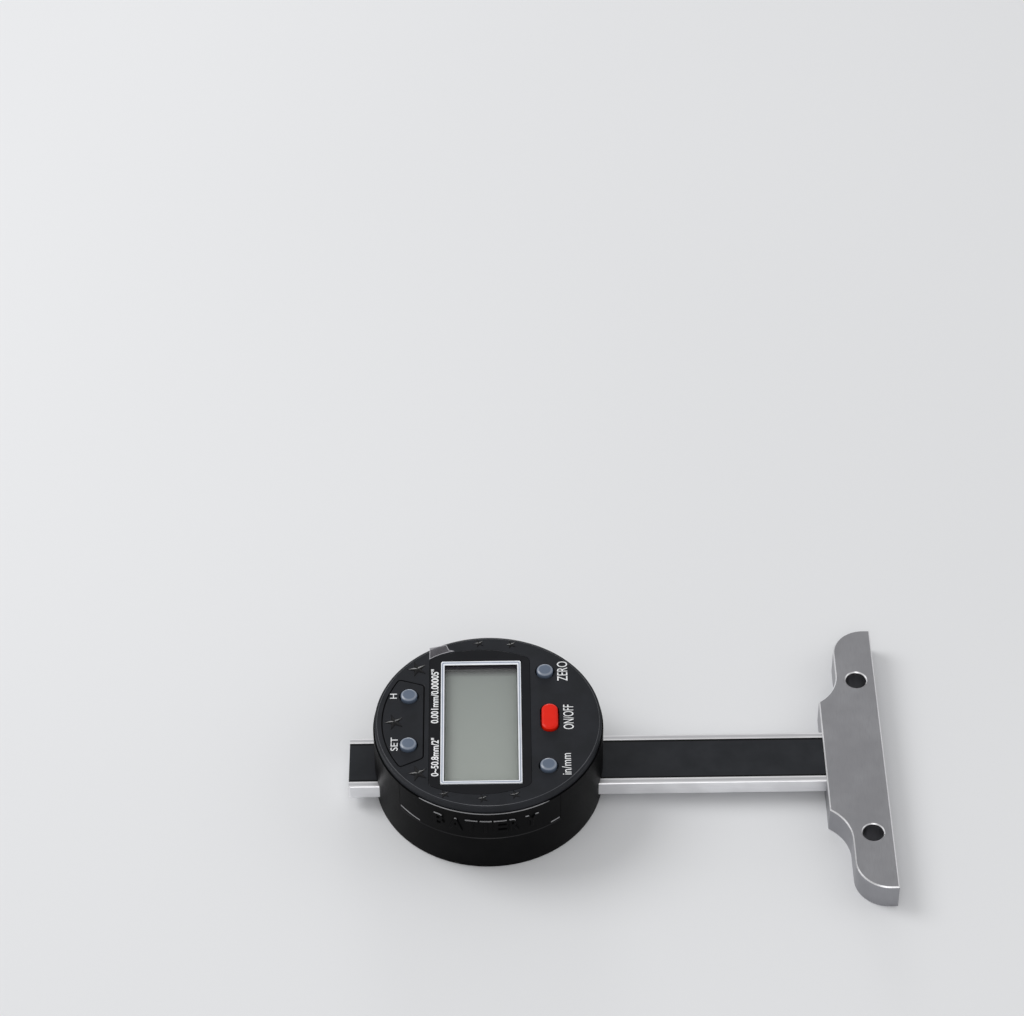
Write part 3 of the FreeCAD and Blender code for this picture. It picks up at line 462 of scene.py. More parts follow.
def star_recess(name, x, y, z, radius, height):
    """Cutter for a cross recess from below: two crossed blades that narrow towards their floor."""
    reach = radius * recess_share
    half = radius * recess_width_share / 2
    floor = z + height * recess_depth_share
    blades = []
    for long, wide in ((reach, half), (half, reach)):
        outline = [(x - long, y - wide), (x + long, y - wide), (x + long, y + wide), (x - long, y + wide)]
        blades.append(prism(f"{name}_blade", outline, [(half / 2, floor), (0, z), (0, z - overrun)]))
    return blades


def driven_screw(name, x, y, z, head_radius, head_height, shank_radius, length):
    """Cross-recess screw that points up, with the face of its head at z."""
    edge = head_radius * edge_share
    shoulder = z + head_height
    tip = z + length
    outline = circle(x, y, head_radius, screw_sides)
    grown = head_radius - shank_radius
    rows = [(edge, z), (edge / 3, z + edge / 3), (0, z + edge), (0, shoulder)]
    rows += [(grown, shoulder), (grown, tip - edge), (grown + edge, tip)]
    return cut(prism(name, outline, rows), star_recess(name, x, y, z, head_radius, head_height))


screw_finish = ground_steel("bright_screw_steel", screw_shade,
                            length=0.0002, width=0.0002, depth=0.0002, smooth=0.2, rough=0.32)
clamp_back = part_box("base_clamp")[0].z
base_screw_setback = 0.0089
base_screw_half_spacing = 0.005
base_screw_sizes = dict(head_radius=0.00228, head_height=0.0013, shank_radius=0.00125, length=0.006)
for side in (-1, 1):
    made = driven_screw(f"base_screw_{2 + side}", -base_screw_setback, side * base_screw_half_spacing,
                        clamp_back, **base_screw_sizes)
    dress(made, "beam_and_base", screw_finish, ["base_screws"])
paint_node("base_clamp", base_finish)

# Stop screw. It stands out of the back of the beam and keeps the head from sliding off the end.

stop_low, stop_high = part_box("stop_screw")
stop_screw_sizes = dict(head_radius=0.0015, head_height=0.0008, shank_radius=0.001, length=0.0029)
stop_x = (stop_low.x + stop_high.x) / 2
stop = driven_screw("stop_screw_steel", stop_x, 0.0, stop_low.z, **stop_screw_sizes)
dress(stop, "beam_and_base", screw_finish, ["stop_screw"])

# Depth rod. A ground rod of hardened steel with a flat foot, held by a small clamp plate on the carriage.

rod_low, rod_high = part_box("depth_rod")
rod_radius = 0.00075
rod_tip_chamfer = 0.0002
rod_foot_length = 0.008
rod_foot_half = 0.0025
rod_foot_thickness = 0.0006
rod_post_length = 0.004
rod_shade = (214, 216, 220)

rod = prism("depth_rod_steel", circle(0, 0, rod_radius, 48),
            [(0, rod_low.x), (0, rod_high.x - rod_tip_chamfer), (rod_tip_chamfer, rod_high.x)], "yzx")
rod_foot = block("rod_foot", (rod_low.x, -rod_foot_half, rod_low.z),
                 (rod_low.x + rod_foot_length, rod_foot_half, rod_low.z + rod_foot_thickness))
rod_post = block("rod_post", (rod_low.x, -rod_radius, rod_low.z + rod_foot_thickness / 2),
                 (rod_low.x + rod_post_length, rod_radius, 0))
fuse(rod, [rod_foot, rod_post])
rod_finish = ground_steel("ground_rod_steel", rod_shade,
                          length=0.003, width=0.00004, depth=0.00004, smooth=0.16, rough=0.26)
dress(rod, "head", rod_finish, ["depth_rod"])

# Carriage. A milled steel slider with its back plate, clamp plate and screws, which runs on the beam. A brass
# strip and two set screws take up the play.

machined_shade = (168, 169, 172)
brass_shade = (196, 160, 92)
black_steel_shade = (52, 52, 55)
machined_finish = ground_steel("machined_steel", machined_shade,
                               length=0.0012, width=0.00008, depth=0.0012, smooth=0.3, rough=0.42)
for name in ("carriage", "carriage_plate", "rod_clamp"):
    paint_node(name, machined_finish)
for name in ("carriage_plate_screws", "rod_clamp_screws", "carriage_screws", "cover_screws"):
    paint_node(name, screw_finish)
brass_finish = ground_steel("spring_brass", brass_shade,
                            length=0.002, width=0.0001, depth=0.0001, smooth=0.26, rough=0.38)
for name in ("gib_strip", "positive_contact", "negative_contact"):
    paint_node(name, brass_finish)
black_finish = ground_steel("black_steel", black_steel_shade,
                            length=0.0002, width=0.0002, depth=0.0002, smooth=0.35, rough=0.5)
paint_node("gib_screws", black_finish)

# Boards. Green glass-fibre boards under solder mask: one reads the scale, the other carries the display, and
# a dark connector joins them.

board_shades = (18, 66, 42), (28, 88, 56)
connector_shades = (26, 26, 28), (38, 38, 41)
board_finish = moulded_plastic("solder_mask", *board_shades,
                               grain=0.0003, depth=0.000004, smooth=0.25, rough=0.4)
for name in ("sensor_board", "main_board"):
    paint_node(name, board_finish)
connector_finish = moulded_plastic("connector_plastic", *connector_shades,
                                   grain=0.0002, depth=0.000004, smooth=0.4, rough=0.55)
paint_node("board_link", connector_finish)

# Housing. One deep moulding of black plastic with the fine grain of its mould: a round wall, a deck across
# it, slots for the beam, an opening for the battery drawer with its guide rails, and posts for the screws.

housing_low, housing_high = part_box("housing")
head_x = (housing_low.x + housing_high.x) / 2
housing_radius = (housing_high.x - housing_low.x) / 2
housing_bore = 0.0267
housing_edge = 0.00012
housing_steps = 240
deck_back = 0.00412
deck_front = 0.00602
floor_front = 0.00722
board_back = 0.01277
seam = housing_high.z
slot_start = 0.017
slot_half = 0.00835
slot_front = 0.00352
door_start = -50.0
door_end = 38.0
sill_edge = 0.00014
sill_steps = 48
sill_highlight_shades = (28, 28, 30), (38, 38, 40)
lock_lift = 0.0012
lock_hole_radius = 0.00185
side_hole_share = 0.8
key_hole_radius = 0.0011
key_hole_x = 0.01
link_hole = ((-0.0053, 0.00285), (0.0053, 0.00595))
carriage_screw_x = 0.007
carriage_screw_y = 0.0102
carriage_head_radius = 0.00152
carriage_head_height = 0.0007
post_radius = 0.002
post_bore = 0.00082
rear_bore_front = 0.00235
melt = overrun / 4
front_posts = ((0.0202, 0.0116), (0.0202, -0.0116), (-0.017, 0.016), (-0.0191, -0.014))
rear_posts = ((0.0145, 0.0195), (0.0145, -0.0195), (-0.0145, 0.0195), (-0.0145, -0.0195))
rail_near = -0.0196
rail_far = 0.0004
rail_lip_low = 0.01072
rail_lip_high = 0.01152
rails = (
    ((-0.015, floor_front - melt), (-0.014, floor_front - melt), (-0.014, rail_lip_low),
     (-0.0132, rail_lip_low), (-0.0132, rail_lip_high), (-0.015, rail_lip_high)),
    ((0.0098, floor_front - melt), (0.0108, floor_front - melt), (0.0108, rail_lip_high),
     (0.009, rail_lip_high), (0.009, rail_lip_low), (0.0098, rail_lip_low)),
)
stop_ribs = ((-0.0139, -0.0069), (0.0027, 0.0097))
stop_rib_near = 0.0005
stop_rib_far = 0.0015
stop_rib_high = 0.00882
housing_shades = (6, 6, 7), (10, 10, 11)


def on_head(points):
    """Outline drawn about the head's centre, moved to where the head is."""
    return [(head_x + x, y) for x, y in points]


def post(name, x, y, radius, low, high):
    """Round upright piece or cutter at a place on the head."""
    return prism(name, on_head(circle(x, y, radius, 40)), [(0, low), (0, high)])


def swept(name, sections):
    """Closed mesh through sections that stand round the head, each an angle and its radii and heights."""
    loops = []
    for angle, points in sections:
        turn = math.radians(angle)
        right, near = math.sin(turn), math.cos(turn)
        loops.append([(head_x + radius * right, -radius * near, z) for radius, z in points])
    return lofted(name, loops)


def sector(name, start, end, inner, outer, low, high, steps=48):
    """Part of a ring round the head, from one angle to another."""
    corners = [(inner, low), (outer, low), (outer, high), (inner, high)]
    return swept(name, [(start + (end - start) * number / steps, corners) for number in range(steps + 1)])


housing = prism("housing_shell", on_head(circle(0, 0, housing_radius, housing_steps)),
                rounded_edges(housing_low.z, housing_high.z, housing_edge, housing_edge, 2))
sill_sections = []
for number in range(sill_steps + 1):
    sill_sections.append((door_start + (door_end - door_start) * number / sill_steps, [
        (housing_radius - sill_edge, floor_front),
        (housing_radius + overrun, floor_front - sill_edge - overrun),
        (housing_radius + overrun, floor_front + sill_edge),
        (housing_radius - sill_edge, floor_front + sill_edge),
    ]))
sill = swept("door_sill", sill_sections)
# Painted highlight: the sill's chamfer under the door gets the second finish, lighter than the housing.
for side in sill.data.polygons:
    side.material_index = 1
housing_cutters = [
    sill,
    prism("lower_room", on_head(circle(0, 0, housing_bore, housing_steps)),
          [(0, housing_low.z - overrun), (0, deck_front)]),
    prism("upper_room", on_head(circle(0, 0, housing_bore, housing_steps)),
          [(0, floor_front), (0, seam + overrun)]),
    sector("door_opening", door_start, door_end, housing_bore - overrun / 2, housing_radius + overrun,
           floor_front, seam + overrun),
    block("link_opening", (head_x + link_hole[0][0], link_hole[0][1], deck_front - overrun),
          (head_x + link_hole[1][0], link_hole[1][1], floor_front + overrun)),
]
for side in (-1, 1):
    ends = sorted((head_x + side * slot_start, head_x + side * (housing_radius + overrun)))
    housing_cutters.append(block(f"beam_slot_{side}", (ends[0], -slot_half, housing_low.z - overrun),
                                 (ends[1], slot_half, slot_front)))
for x, radius in ((0, lock_hole_radius), (-key_hole_x, key_hole_radius), (key_hole_x, key_hole_radius)):
    housing_cutters.append(prism("side_hole", circle(head_x + x, lock_lift, radius, 40),
                                 [(0, housing_bore * side_hole_share), (0, housing_radius + overrun)], "xzy"))
cut(housing, housing_cutters)
housing_parts = []
for x, y in front_posts:
    housing_parts.append(post("front_post", x, y, post_radius, floor_front - melt, board_back))
for x, y in rear_posts:
    housing_parts.append(post("rear_post", x, y, post_radius, housing_low.z, deck_front + melt))
for corners in rails:
    housing_parts.append(prism("rail", [(head_x + x, z) for x, z in corners],
                               [(0, rail_near), (0, rail_far)], "xzy"))
for left, right in stop_ribs:
    housing_parts.append(block("stop_rib", (head_x + left, stop_rib_near, floor_front - melt),
                               (head_x + right, stop_rib_far, stop_rib_high)))
fuse(housing, housing_parts)
housing_cutters = []
for x, y in front_posts:
    housing_cutters.append(post("front_bore", x, y, post_bore, deck_back, board_back + overrun))
for x, y in rear_posts:
    housing_cutters.append(post("rear_bore", x, y, post_bore, housing_low.z - overrun, rear_bore_front))
for x in (-carriage_screw_x, carriage_screw_x):
    for y in (-carriage_screw_y, carriage_screw_y):
        housing_cutters.append(post("screw_seat", x, y, carriage_head_radius,
                                    floor_front - carriage_head_height, floor_front + overrun))
cut(housing, housing_cutters)
housing_finish = moulded_plastic("housing_plastic", *housing_shades,
                                 grain=0.00016, depth=0.000005, smooth=0.36, rough=0.52, gloss=0.05)
sill_highlight_finish = moulded_plastic("painted_highlight_sill", *sill_highlight_shades,
                              grain=0.00016, depth=0.000001, smooth=0.3, rough=0.4, gloss=0.2)
dress(housing, "head", housing_finish, ["housing"], trim=[sill_highlight_finish])

# Rear cover. A round lid of the housing's plastic with a chamfered edge, and two lips that close the beam's
# slots behind the beam. Four screws hold it.

rear_cover_low, rear_cover_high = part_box("rear_cover")
lid_radius = (rear_cover_high.x - rear_cover_low.x) / 2
lid_front = housing_low.z
lid_chamfer = 0.0004
lid_bend_share = 0.3
lid_lip_turn = 17.0
lid_lip_step = 0.00003
lid_seat_radius = 0.00152
lid_seat_depth = 0.0008

lid = prism("rear_cover_lid", on_head(circle(0, 0, lid_radius, housing_steps)), [
    (lid_chamfer, rear_cover_low.z),
    (lid_chamfer * lid_bend_share, rear_cover_low.z + lid_chamfer * lid_bend_share),
    (0, rear_cover_low.z + lid_chamfer),
    (0, lid_front),
])
lid_lips = []
for side in (-90, 90):
    lid_lips.append(sector(f"lid_lip_{side}", side - lid_lip_turn, side + lid_lip_turn, housing_bore,
                           lid_radius - lid_lip_step, lid_front - melt, rear_cover_high.z, 24))
fuse(lid, lid_lips)
lid_cutters = []
for x, y in rear_posts:
    lid_cutters.append(post("screw_seat", x, y, lid_seat_radius, rear_cover_low.z - overrun,
                            rear_cover_low.z + lid_seat_depth))
    lid_cutters.append(post("screw_hole", x, y, post_bore, rear_cover_low.z - overrun, lid_front + overrun))
cut(lid, lid_cutters)
dress(lid, "head", housing_finish, ["rear_cover"])

# Rear cover screws. Four cross-recess screws sunk flush in the rear cover.

rear_screw_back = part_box("rear_cover_screws")[0].z
rear_screw_sizes = dict(head_radius=0.00148, head_height=0.0008, shank_radius=0.0008, length=0.006)
for number, (x, y) in enumerate(rear_posts):
    made = driven_screw(f"rear_screw_{number + 1}", head_x + x, y, rear_screw_back, **rear_screw_sizes)
    dress(made, "head", screw_finish, ["rear_cover_screws"])

# Contact strips, button pads and display holder. Grey silicone rubber and a white plastic frame between the
# board and the cover.

rubber_shades = (168, 168, 166), (182, 182, 180)
holder_shades = (222, 222, 216), (232, 232, 227)
rubber_finish = moulded_plastic("pad_rubber", *rubber_shades,
                                grain=0.0002, depth=0.000006, smooth=0.7, rough=0.85)
for name in ("contact_strips", "button_pads"):
    paint_node(name, rubber_finish)
holder_finish = moulded_plastic("holder_plastic", *holder_shades,
                                grain=0.0002, depth=0.000006, smooth=0.5, rough=0.65)
paint_node("display_holder", holder_finish)

# Display. A liquid crystal cell of two glass plates with a grey-green reflector, switched off. The reflector
# is painted darker towards the far side as painted shade, with a painted shadow along its far edge.

display_low, display_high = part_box("display_cell")
display_step = 0.0005
display_rear_glass = 0.0007
display_edge = 0.00008
display_grain_size = 0.00006
display_near_shade = (137, 144, 137)
display_far_shade = (120, 128, 122)
display_shade_near = -0.018
display_shade_far = 0.016
display_shadow_shades = (20, 18, 21), (26, 24, 27)
display_shadow_start = 0.0164
display_shadow_end = 0.0184
display_shadow_share = 0.82

display_finish, display_shader = new_finish("display_reflector", metallic=0.0, roughness=0.3)
display_shader.inputs["Specular IOR Level"].default_value = 0.2
# Painted shade: the reflector grows darker from the near side to the far side.
display_painted_shade_slope = across_beam(display_finish, display_shade_near, display_shade_far)
display_shade = coloured(display_finish, display_painted_shade_slope, 0.0, 1.0, screen(*display_near_shade),
                         screen(*display_far_shade))
wire(display_finish, display_shade, display_shader, "Base Color")
display_shadow = across_beam(display_finish, display_shadow_start, display_shadow_end,
                             0.0, display_shadow_share)
repainted(display_finish, display_shadow, *display_shadow_shades)
display_grain = spots(display_finish, display_grain_size, detail=1.0)
display_rough = measured(display_finish, display_grain, 0.3, 0.7, 0.28, 0.36)
wire(display_finish, display_rough, display_shader, "Roughness")
display = block("display_glass", display_low,
                (display_high.x, display_high.y, display_low.z + display_rear_glass), display_edge)
display_front = block("display_front_glass",
                      (display_low.x, display_low.y + display_step, display_low.z + display_rear_glass / 2),
                      (display_high.x, display_high.y - display_step, display_high.z), display_edge)
fuse(display, [display_front])
dress(display, "head", display_finish, ["display_cell"])

# Front cover. A matt charcoal moulding that closes the housing, with a low bevel along its rim, a recess for
# the lens panel, holes for the window and the buttons and a thin shield-shaped groove round two buttons.

lens_low, lens_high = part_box("lens_panel")
frame_low, frame_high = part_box("window_frame")
pane_low, pane_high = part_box("window_pane")
face = lens_high.z
cover_radius = 0.0279
board_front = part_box("main_board")[1].z
cover_thread_depth = 0.0025
cover_rim_width = 0.00062
cover_rim_drop = 0.00015
cover_step_width = 0.00009
cover_step_drop = 0.00007
cover_rim_round = 0.00005
bend_share = 0.3
cover_steps = 256
lens_floor = lens_low.z
lens_gap = 0.00005
lens_arc = 0.0275
lens_corner = 0.0017
hole_gap = 0.0003
hole_flare = 0.00012
button_radius = 0.00205
power_half_width = 0.002
power_half_length = 0.0042
button_places = {
    "zero_button": (0.0142, 0.016),
    "on_off_button": (0.01515, 0.0006),
    "unit_button": (0.0146, -0.0149),
    "hold_button": (-0.0195, 0.0082),
    "set_button": (-0.0195, -0.0077),
}
shield_radius = 0.0262
shield_start = 147.5
shield_end = 214.8
shield_corners = ((-0.0156, -0.012), (-0.0156, 0.012))
shield_bend = 0.0009
almost_straight = math.radians(165)
channel_lip = 0.00012
channel_half = 0.00017
channel_depth = 0.00026
cover_shades = (26, 28, 32), (32, 34, 39)
step_highlight_shades = (60, 62, 68), (70, 72, 78)
groove_shades = (10, 10, 12), (13, 13, 15)
cover_sharp_angle = math.radians(10)


def lens_outline(gap):
    """Lens panel's outline: straight left and right sides, flat arcs far and near, and rounded corners."""
    middle = (lens_low.x + lens_high.x) / 2
    half = (lens_high.x - lens_low.x) / 2 + lens_gap - gap
    radius = lens_arc - gap
    corner = lens_corner - gap
    arc_y = lens_high.y + lens_gap - lens_arc
    corner_x = half - corner
    corner_y = arc_y + math.sqrt((radius - corner) ** 2 - corner_x ** 2)
    turn = math.degrees(math.atan2(corner_y - arc_y, corner_x))
    far = arc(corner_x, corner_y, corner, 0, turn, 10)[:-1]
    far += arc(0, arc_y, radius, turn, 180 - turn, 40)[:-1]
    far += arc(-corner_x, corner_y, corner, 180 - turn, 180, 10)
    near = [(-x, -y) for x, y in far]
    return [(middle + x, y) for x, y in far + near]


def button_outline(name, grow):
    """Outline of a button, or with grow of its hole: a circle, or a slot with round ends for the red one."""
    x, y = button_places[name]
    if name != "on_off_button":
        return on_head(circle(x, y, button_radius + grow, 72))
    radius = power_half_width + grow
    reach = power_half_length - power_half_width
    points = arc(x, y + reach, radius, 0, 180, 36) + arc(x, y - reach, radius, 180, 360, 36)
    return on_head(points)


def softened(points, reach, steps=6):
    """Outline whose corners are bent over that reach of each side, with all its other points kept."""
    eased = []
    for number, here in enumerate(points):
        before = Vector(points[number - 1])
        after = Vector(points[(number + 1) % len(points)])
        here = Vector(here)
        come = (before - here).normalized()
        go = (after - here).normalized()
        if come.angle(go) > almost_straight:
            eased.append(tuple(here))
            continue
        start = here + come * reach
        end = here + go * reach
        for step in range(steps + 1):
            share = step / steps
            bent = start * (1 - share) ** 2 + here * 2 * share * (1 - share) + end * share ** 2
            eased.append(tuple(bent))
    return eased


def shield_outline():
    """Outline of the groove's outer edge: an arc about the head's centre, and corners that are eased."""
    points = arc(0, 0, shield_radius, shield_start, shield_end, 24)
    points += shield_corners
    return on_head(softened(points, shield_bend, 8))


cover = prism("front_cover_shell", on_head(circle(0, 0, cover_radius, cover_steps)), [
    (0, seam),
    (0, face - cover_rim_drop - cover_rim_round),
    (cover_rim_round * bend_share, face - cover_rim_drop - cover_rim_round * bend_share),
    (cover_rim_round, face - cover_rim_drop),
    (cover_rim_width - cover_step_width, face - cover_step_drop),
    (cover_rim_width, face),
], trim=[(2, 3), (4,)])
shield = shield_outline()
channel_loops = []
for amount, z in (
    (-channel_lip, face + overrun),
    (-channel_lip, face),
    (0, face - channel_depth * bend_share),
    (channel_half, face - channel_depth),
    (channel_half * 2, face - channel_depth * bend_share),
    (channel_half * 2 + channel_lip, face),
    (channel_half * 2 + channel_lip, face + overrun),
):
    channel_loops.append([(x, y, z) for x, y in inset(shield, amount)])
cover_cutters = [
    prism("lens_recess", lens_outline(0), [(0, lens_floor), (0, face - hole_flare / 2),
                                           (-hole_flare / 2, face), (-hole_flare / 2, face + overrun)]),
    block("window", (pane_low.x - lens_gap, pane_low.y - lens_gap, seam - overrun),
          (pane_high.x + lens_gap, pane_high.y + lens_gap, face + overrun)),
    lofted("channel", channel_loops, ring=True, trim=[(1,), (), (2, 3)]),
]
for name in button_places:
    rows = [(0, seam - overrun), (0, face - hole_flare), (-hole_flare, face), (-hole_flare, face + overrun)]
    cover_cutters.append(prism(f"{name}_hole", button_outline(name, hole_gap), rows))
cover_posts = []
for x, y in front_posts:
    cover_posts.append(post("cover_post", x, y, post_radius, board_front, seam + melt))
    cover_cutters.append(post("cover_thread", x, y, post_bore, board_front - overrun,
                              board_front + cover_thread_depth))
fuse(cover, cover_posts)
cut(cover, cover_cutters)
cover_finish = moulded_plastic("cover_plastic", *cover_shades,
                               grain=0.00014, depth=0.000004, smooth=0.42, rough=0.56, gloss=0.16)
rim_finish = moulded_plastic("rubbed_rim", *cover_shades,
                             grain=0.00014, depth=0.000001, smooth=0.34, rough=0.46, gloss=0.22)
# Painted highlight: the narrow step at the inner edge of the rim bevel is painted lighter than the cover.
step_highlight_finish = moulded_plastic("painted_highlight_step", *step_highlight_shades,
                              grain=0.00014, depth=0.000001, smooth=0.24, rough=0.34, gloss=0.9)
groove_finish = moulded_plastic("groove_shadow", *groove_shades,
                                grain=0.00014, depth=0.000001, smooth=0.5, rough=0.6, gloss=0.06)
dress(cover, "head", cover_finish, ["front_cover"],
      trim=[rim_finish, step_highlight_finish, groove_finish], sharp=cover_sharp_angle)

# Stars. Raised five-pointed ornaments with ridges, moulded with the cover: three large on the left and five
# small along the rim. They are painted darker than the cover, a painted shade.

star_height_share = 0.09
star_waist_share = 0.36
star_moat_depth = 0.00012
star_moat_tip = 0.0003
star_moat_side = 0.0001
large_star_radius = 0.00245
small_star_radius = 0.0013
large_star_places = ((-0.0175, 0.0173), (-0.023, -0.00025), (-0.01705, -0.0169))
small_star_places = ((0.00585, 0.0253), (-0.0022, 0.02585), (-0.01065, -0.0235), (-0.0014, -0.025),
                     (0.0064, -0.02395))
star_painted_shades = (10, 10, 12), (14, 14, 16)
star_shaded_finish = moulded_plastic("star_plastic_painted_shade", *star_painted_shades,
                              grain=0.0001, depth=0.0000005, smooth=0.14, rough=0.2, gloss=0.26)


def star_outline(x, y, radius, waist):
    """Five-pointed outline whose first point looks left."""
    points = []
    for number in range(10):
        reach = waist if number % 2 else radius
        turn = math.pi + math.pi * number / 5
        points.append((head_x + x + reach * math.cos(turn), y + reach * math.sin(turn)))
    return points


def star(name, x, y, radius):
    """Five ridges that rise to the star's middle, from a foot that is sunk into the cover."""
    foot = star_outline(x, y, radius, radius * star_waist_share)
    shape = bmesh.new()
    peak = shape.verts.new((head_x + x, y, face + radius * star_height_share))
    low_corners = [shape.verts.new((across, along, face - star_moat_depth)) for across, along in foot]
    corners = [shape.verts.new((across, along, face)) for across, along in foot]
    for number, corner in enumerate(corners):
        after = (number + 1) % len(corners)
        shape.faces.new((corner, corners[after], peak))
        shape.faces.new((low_corners[number], low_corners[after], corners[after], corner))
    shape.faces.new(list(reversed(low_corners)))
    return dress(as_piece(name, shape), "head", star_shaded_finish, flat=True)


star_moats = []
for size, radius, places in (("large", large_star_radius, large_star_places),
                             ("small", small_star_radius, small_star_places)):
    for number, (x, y) in enumerate(places, 1):
        star(f"{size}_star_{number}", x, y, radius)
        moat = star_outline(x, y, radius + star_moat_tip, radius * star_waist_share + star_moat_side)
        star_moats.append(prism("moat", moat, [(0, face - star_moat_depth), (0, face + overrun)]))
cut(cover, star_moats)

# Lens panel. A glossy dark plate let into the cover round the window, with the gauge's figures printed on it.

lens_edge = 0.00008
lens_shades = (17, 18, 22), (20, 21, 25)
lens_finish = moulded_plastic("lens_plastic", *lens_shades,
                              grain=0.0009, depth=0.0000005, smooth=0.14, rough=0.2, gloss=0.2)
lens = prism("lens_plate", lens_outline(lens_gap), rounded_edges(lens_low.z, lens_high.z, 0, lens_edge, 3))
frame_gap = 0.0001
cut(lens, [block("frame_opening", (frame_low.x - frame_gap, frame_low.y - frame_gap, lens_low.z - overrun),
                 (frame_high.x + frame_gap, frame_high.y + frame_gap, lens_high.z + overrun))])
dress(lens, "head", lens_finish, ["lens_panel"])

# Window. A silver-white frame with bevelled edges, and a clear pane behind it.

window_left = -0.0106
window_right = 0.0072
window_near = -0.0193
window_far = 0.0182
frame_corner = 0.0005
frame_side_slope = 0.00012
frame_far_slope = 0.00025
frame_slope_drop = 0.00045
frame_ridges = ((0.0, 0.00022), (0.05, 0.00006), (0.12, 0.0), (0.34, 0.0), (0.42, 0.00012), (0.52, 0.00012),
                (0.6, 0.00002), (0.9, 0.00002), (1.0, 0.00014))
frame_groove_bands = (4, 5, 6)
frame_foot_band = len(frame_ridges) + 1
frame_wall_bands = (frame_foot_band - 1, frame_foot_band + 1)
frame_shades = (232, 236, 243), (243, 246, 250)
frame_groove_painted_shades = (150, 160, 180), (164, 174, 194)
frame_wall_shades = (10, 10, 11), (14, 14, 15)
frame_foot_shadow_shades = (58, 55, 62), (64, 60, 67)


def rounded_box(low, high, radius, steps=6):
    """Outline of a box between two corners with rounded corners, counterclockwise."""
    points = arc(high[0] - radius, low[1] + radius, radius, -90, 0, steps)
    points += arc(high[0] - radius, high[1] - radius, radius, 0, 90, steps)
    points += arc(low[0] + radius, high[1] - radius, radius, 90, 180, steps)
    points += arc(low[0] + radius, low[1] + radius, radius, 180, 270, steps)
    return points


frame_outer = rounded_box(frame_low, frame_high, frame_corner)
frame_inner = rounded_box((head_x + window_left - frame_side_slope, window_near - frame_side_slope),
                          (head_x + window_right + frame_side_slope, window_far + frame_far_slope),
                          frame_corner / 4)
frame_wall = rounded_box((head_x + window_left, window_near), (head_x + window_right, window_far),
                         frame_corner / 4)
frame_loops = [[(x, y, frame_low.z) for x, y in frame_outer]]
for share, drop in frame_ridges:
    loop = []
    for outer, inner in zip(frame_outer, frame_inner):
        loop.append((outer[0] * (1 - share) + inner[0] * share,
                     outer[1] * (1 - share) + inner[1] * share, frame_high.z - drop))
    frame_loops.append(loop)
frame_loops.append([(x, y, frame_high.z - frame_slope_drop) for x, y in frame_wall])
frame_loops.append([(x, y, frame_low.z) for x, y in frame_wall])
window_frame = lofted("window_frame_bars", frame_loops, ring=True,
                      trim=[frame_wall_bands, frame_groove_bands, (frame_foot_band,)])


def silver_paint(name, dark, light):
    """Silver paint with a faint metallic sparkle."""
    made, shader = new_finish(name, metallic=0.15, roughness=0.32)
    cloud = spots(made, 0.004)
    grain = spots(made, 0.00008)
    wire(made, coloured(made, cloud, 0.3, 0.7, screen(*dark), screen(*light)), shader, "Base Color")
    wire(made, measured(made, grain, 0.3, 0.7, 0.3, 0.42), shader, "Roughness")
    return made


frame_finish = silver_paint("silver_paint", *frame_shades)
# Painted shade: the frame's groove is painted blue-grey, darker than the silver.
frame_groove_shade_finish = silver_paint("blue_grey_groove_painted_shade", *frame_groove_painted_shades)
frame_wall_finish = moulded_plastic("black_wall", *frame_wall_shades,
                                    grain=0.0002, depth=0.000002, smooth=0.5, rough=0.6, gloss=0.1)
# Painted shadow: the foot of the window's inner wall is painted dark grey, for the shadow on the display.
frame_foot_shadow_finish = moulded_plastic("painted_shadow_wall_foot", *frame_foot_shadow_shades,
                                    grain=0.0002, depth=0.000002, smooth=0.5, rough=0.6, gloss=0.1)
dress(window_frame, "head", frame_finish, ["window_frame"],
      trim=[frame_wall_finish, frame_groove_shade_finish, frame_foot_shadow_finish])

pane_shade = (250, 252, 252)
pane_alpha = 0.08
pane_edge = 0.00005
pane_finish, pane_shader = new_finish("clear_pane", metallic=0.0, roughness=0.05)
pane_shader.inputs["Base Color"].default_value = screen(*pane_shade)
pane_shader.inputs["Alpha"].default_value = pane_alpha
pane = prism("window_pane_clear", rounded_box(pane_low, pane_high, frame_corner),
             rounded_edges(pane_low.z, pane_high.z, pane_edge, pane_edge, 2))
dress(pane, "head", pane_finish, ["window_pane"])

# Buttons. Four round caps of grey-blue plastic and one long red cap, each with a square flange that keeps it
# under the cover.

button_top_share = 0.72
button_crown_share = 0.92
button_crown_drop = 0.00022
button_edge_drop = 0.0005
button_soft_share = 0.85
button_soft_drop_share = 0.12
flange_thickness = 0.0008
flange_gap = 0.0001
grey_shades = (88, 100, 118), (98, 110, 128)
crown_highlight_shades = (124, 132, 146), (136, 144, 156)
red_shades = (220, 28, 8), (230, 36, 12)
grey_finish = moulded_plastic("grey_button_plastic", *grey_shades,
                              grain=0.0001, depth=0.000002, smooth=0.3, rough=0.42, gloss=0.45)
# Painted highlight: the rounded crown of each grey button is painted lighter than its top.
crown_highlight_finish = moulded_plastic("grey_button_crown_highlight", *crown_highlight_shades,
                               grain=0.0001, depth=0.000001, smooth=0.22, rough=0.32, gloss=0.6)
red_finish = moulded_plastic("red_button_plastic", *red_shades,
                             grain=0.0001, depth=0.000002, smooth=0.28, rough=0.4, gloss=0.2)

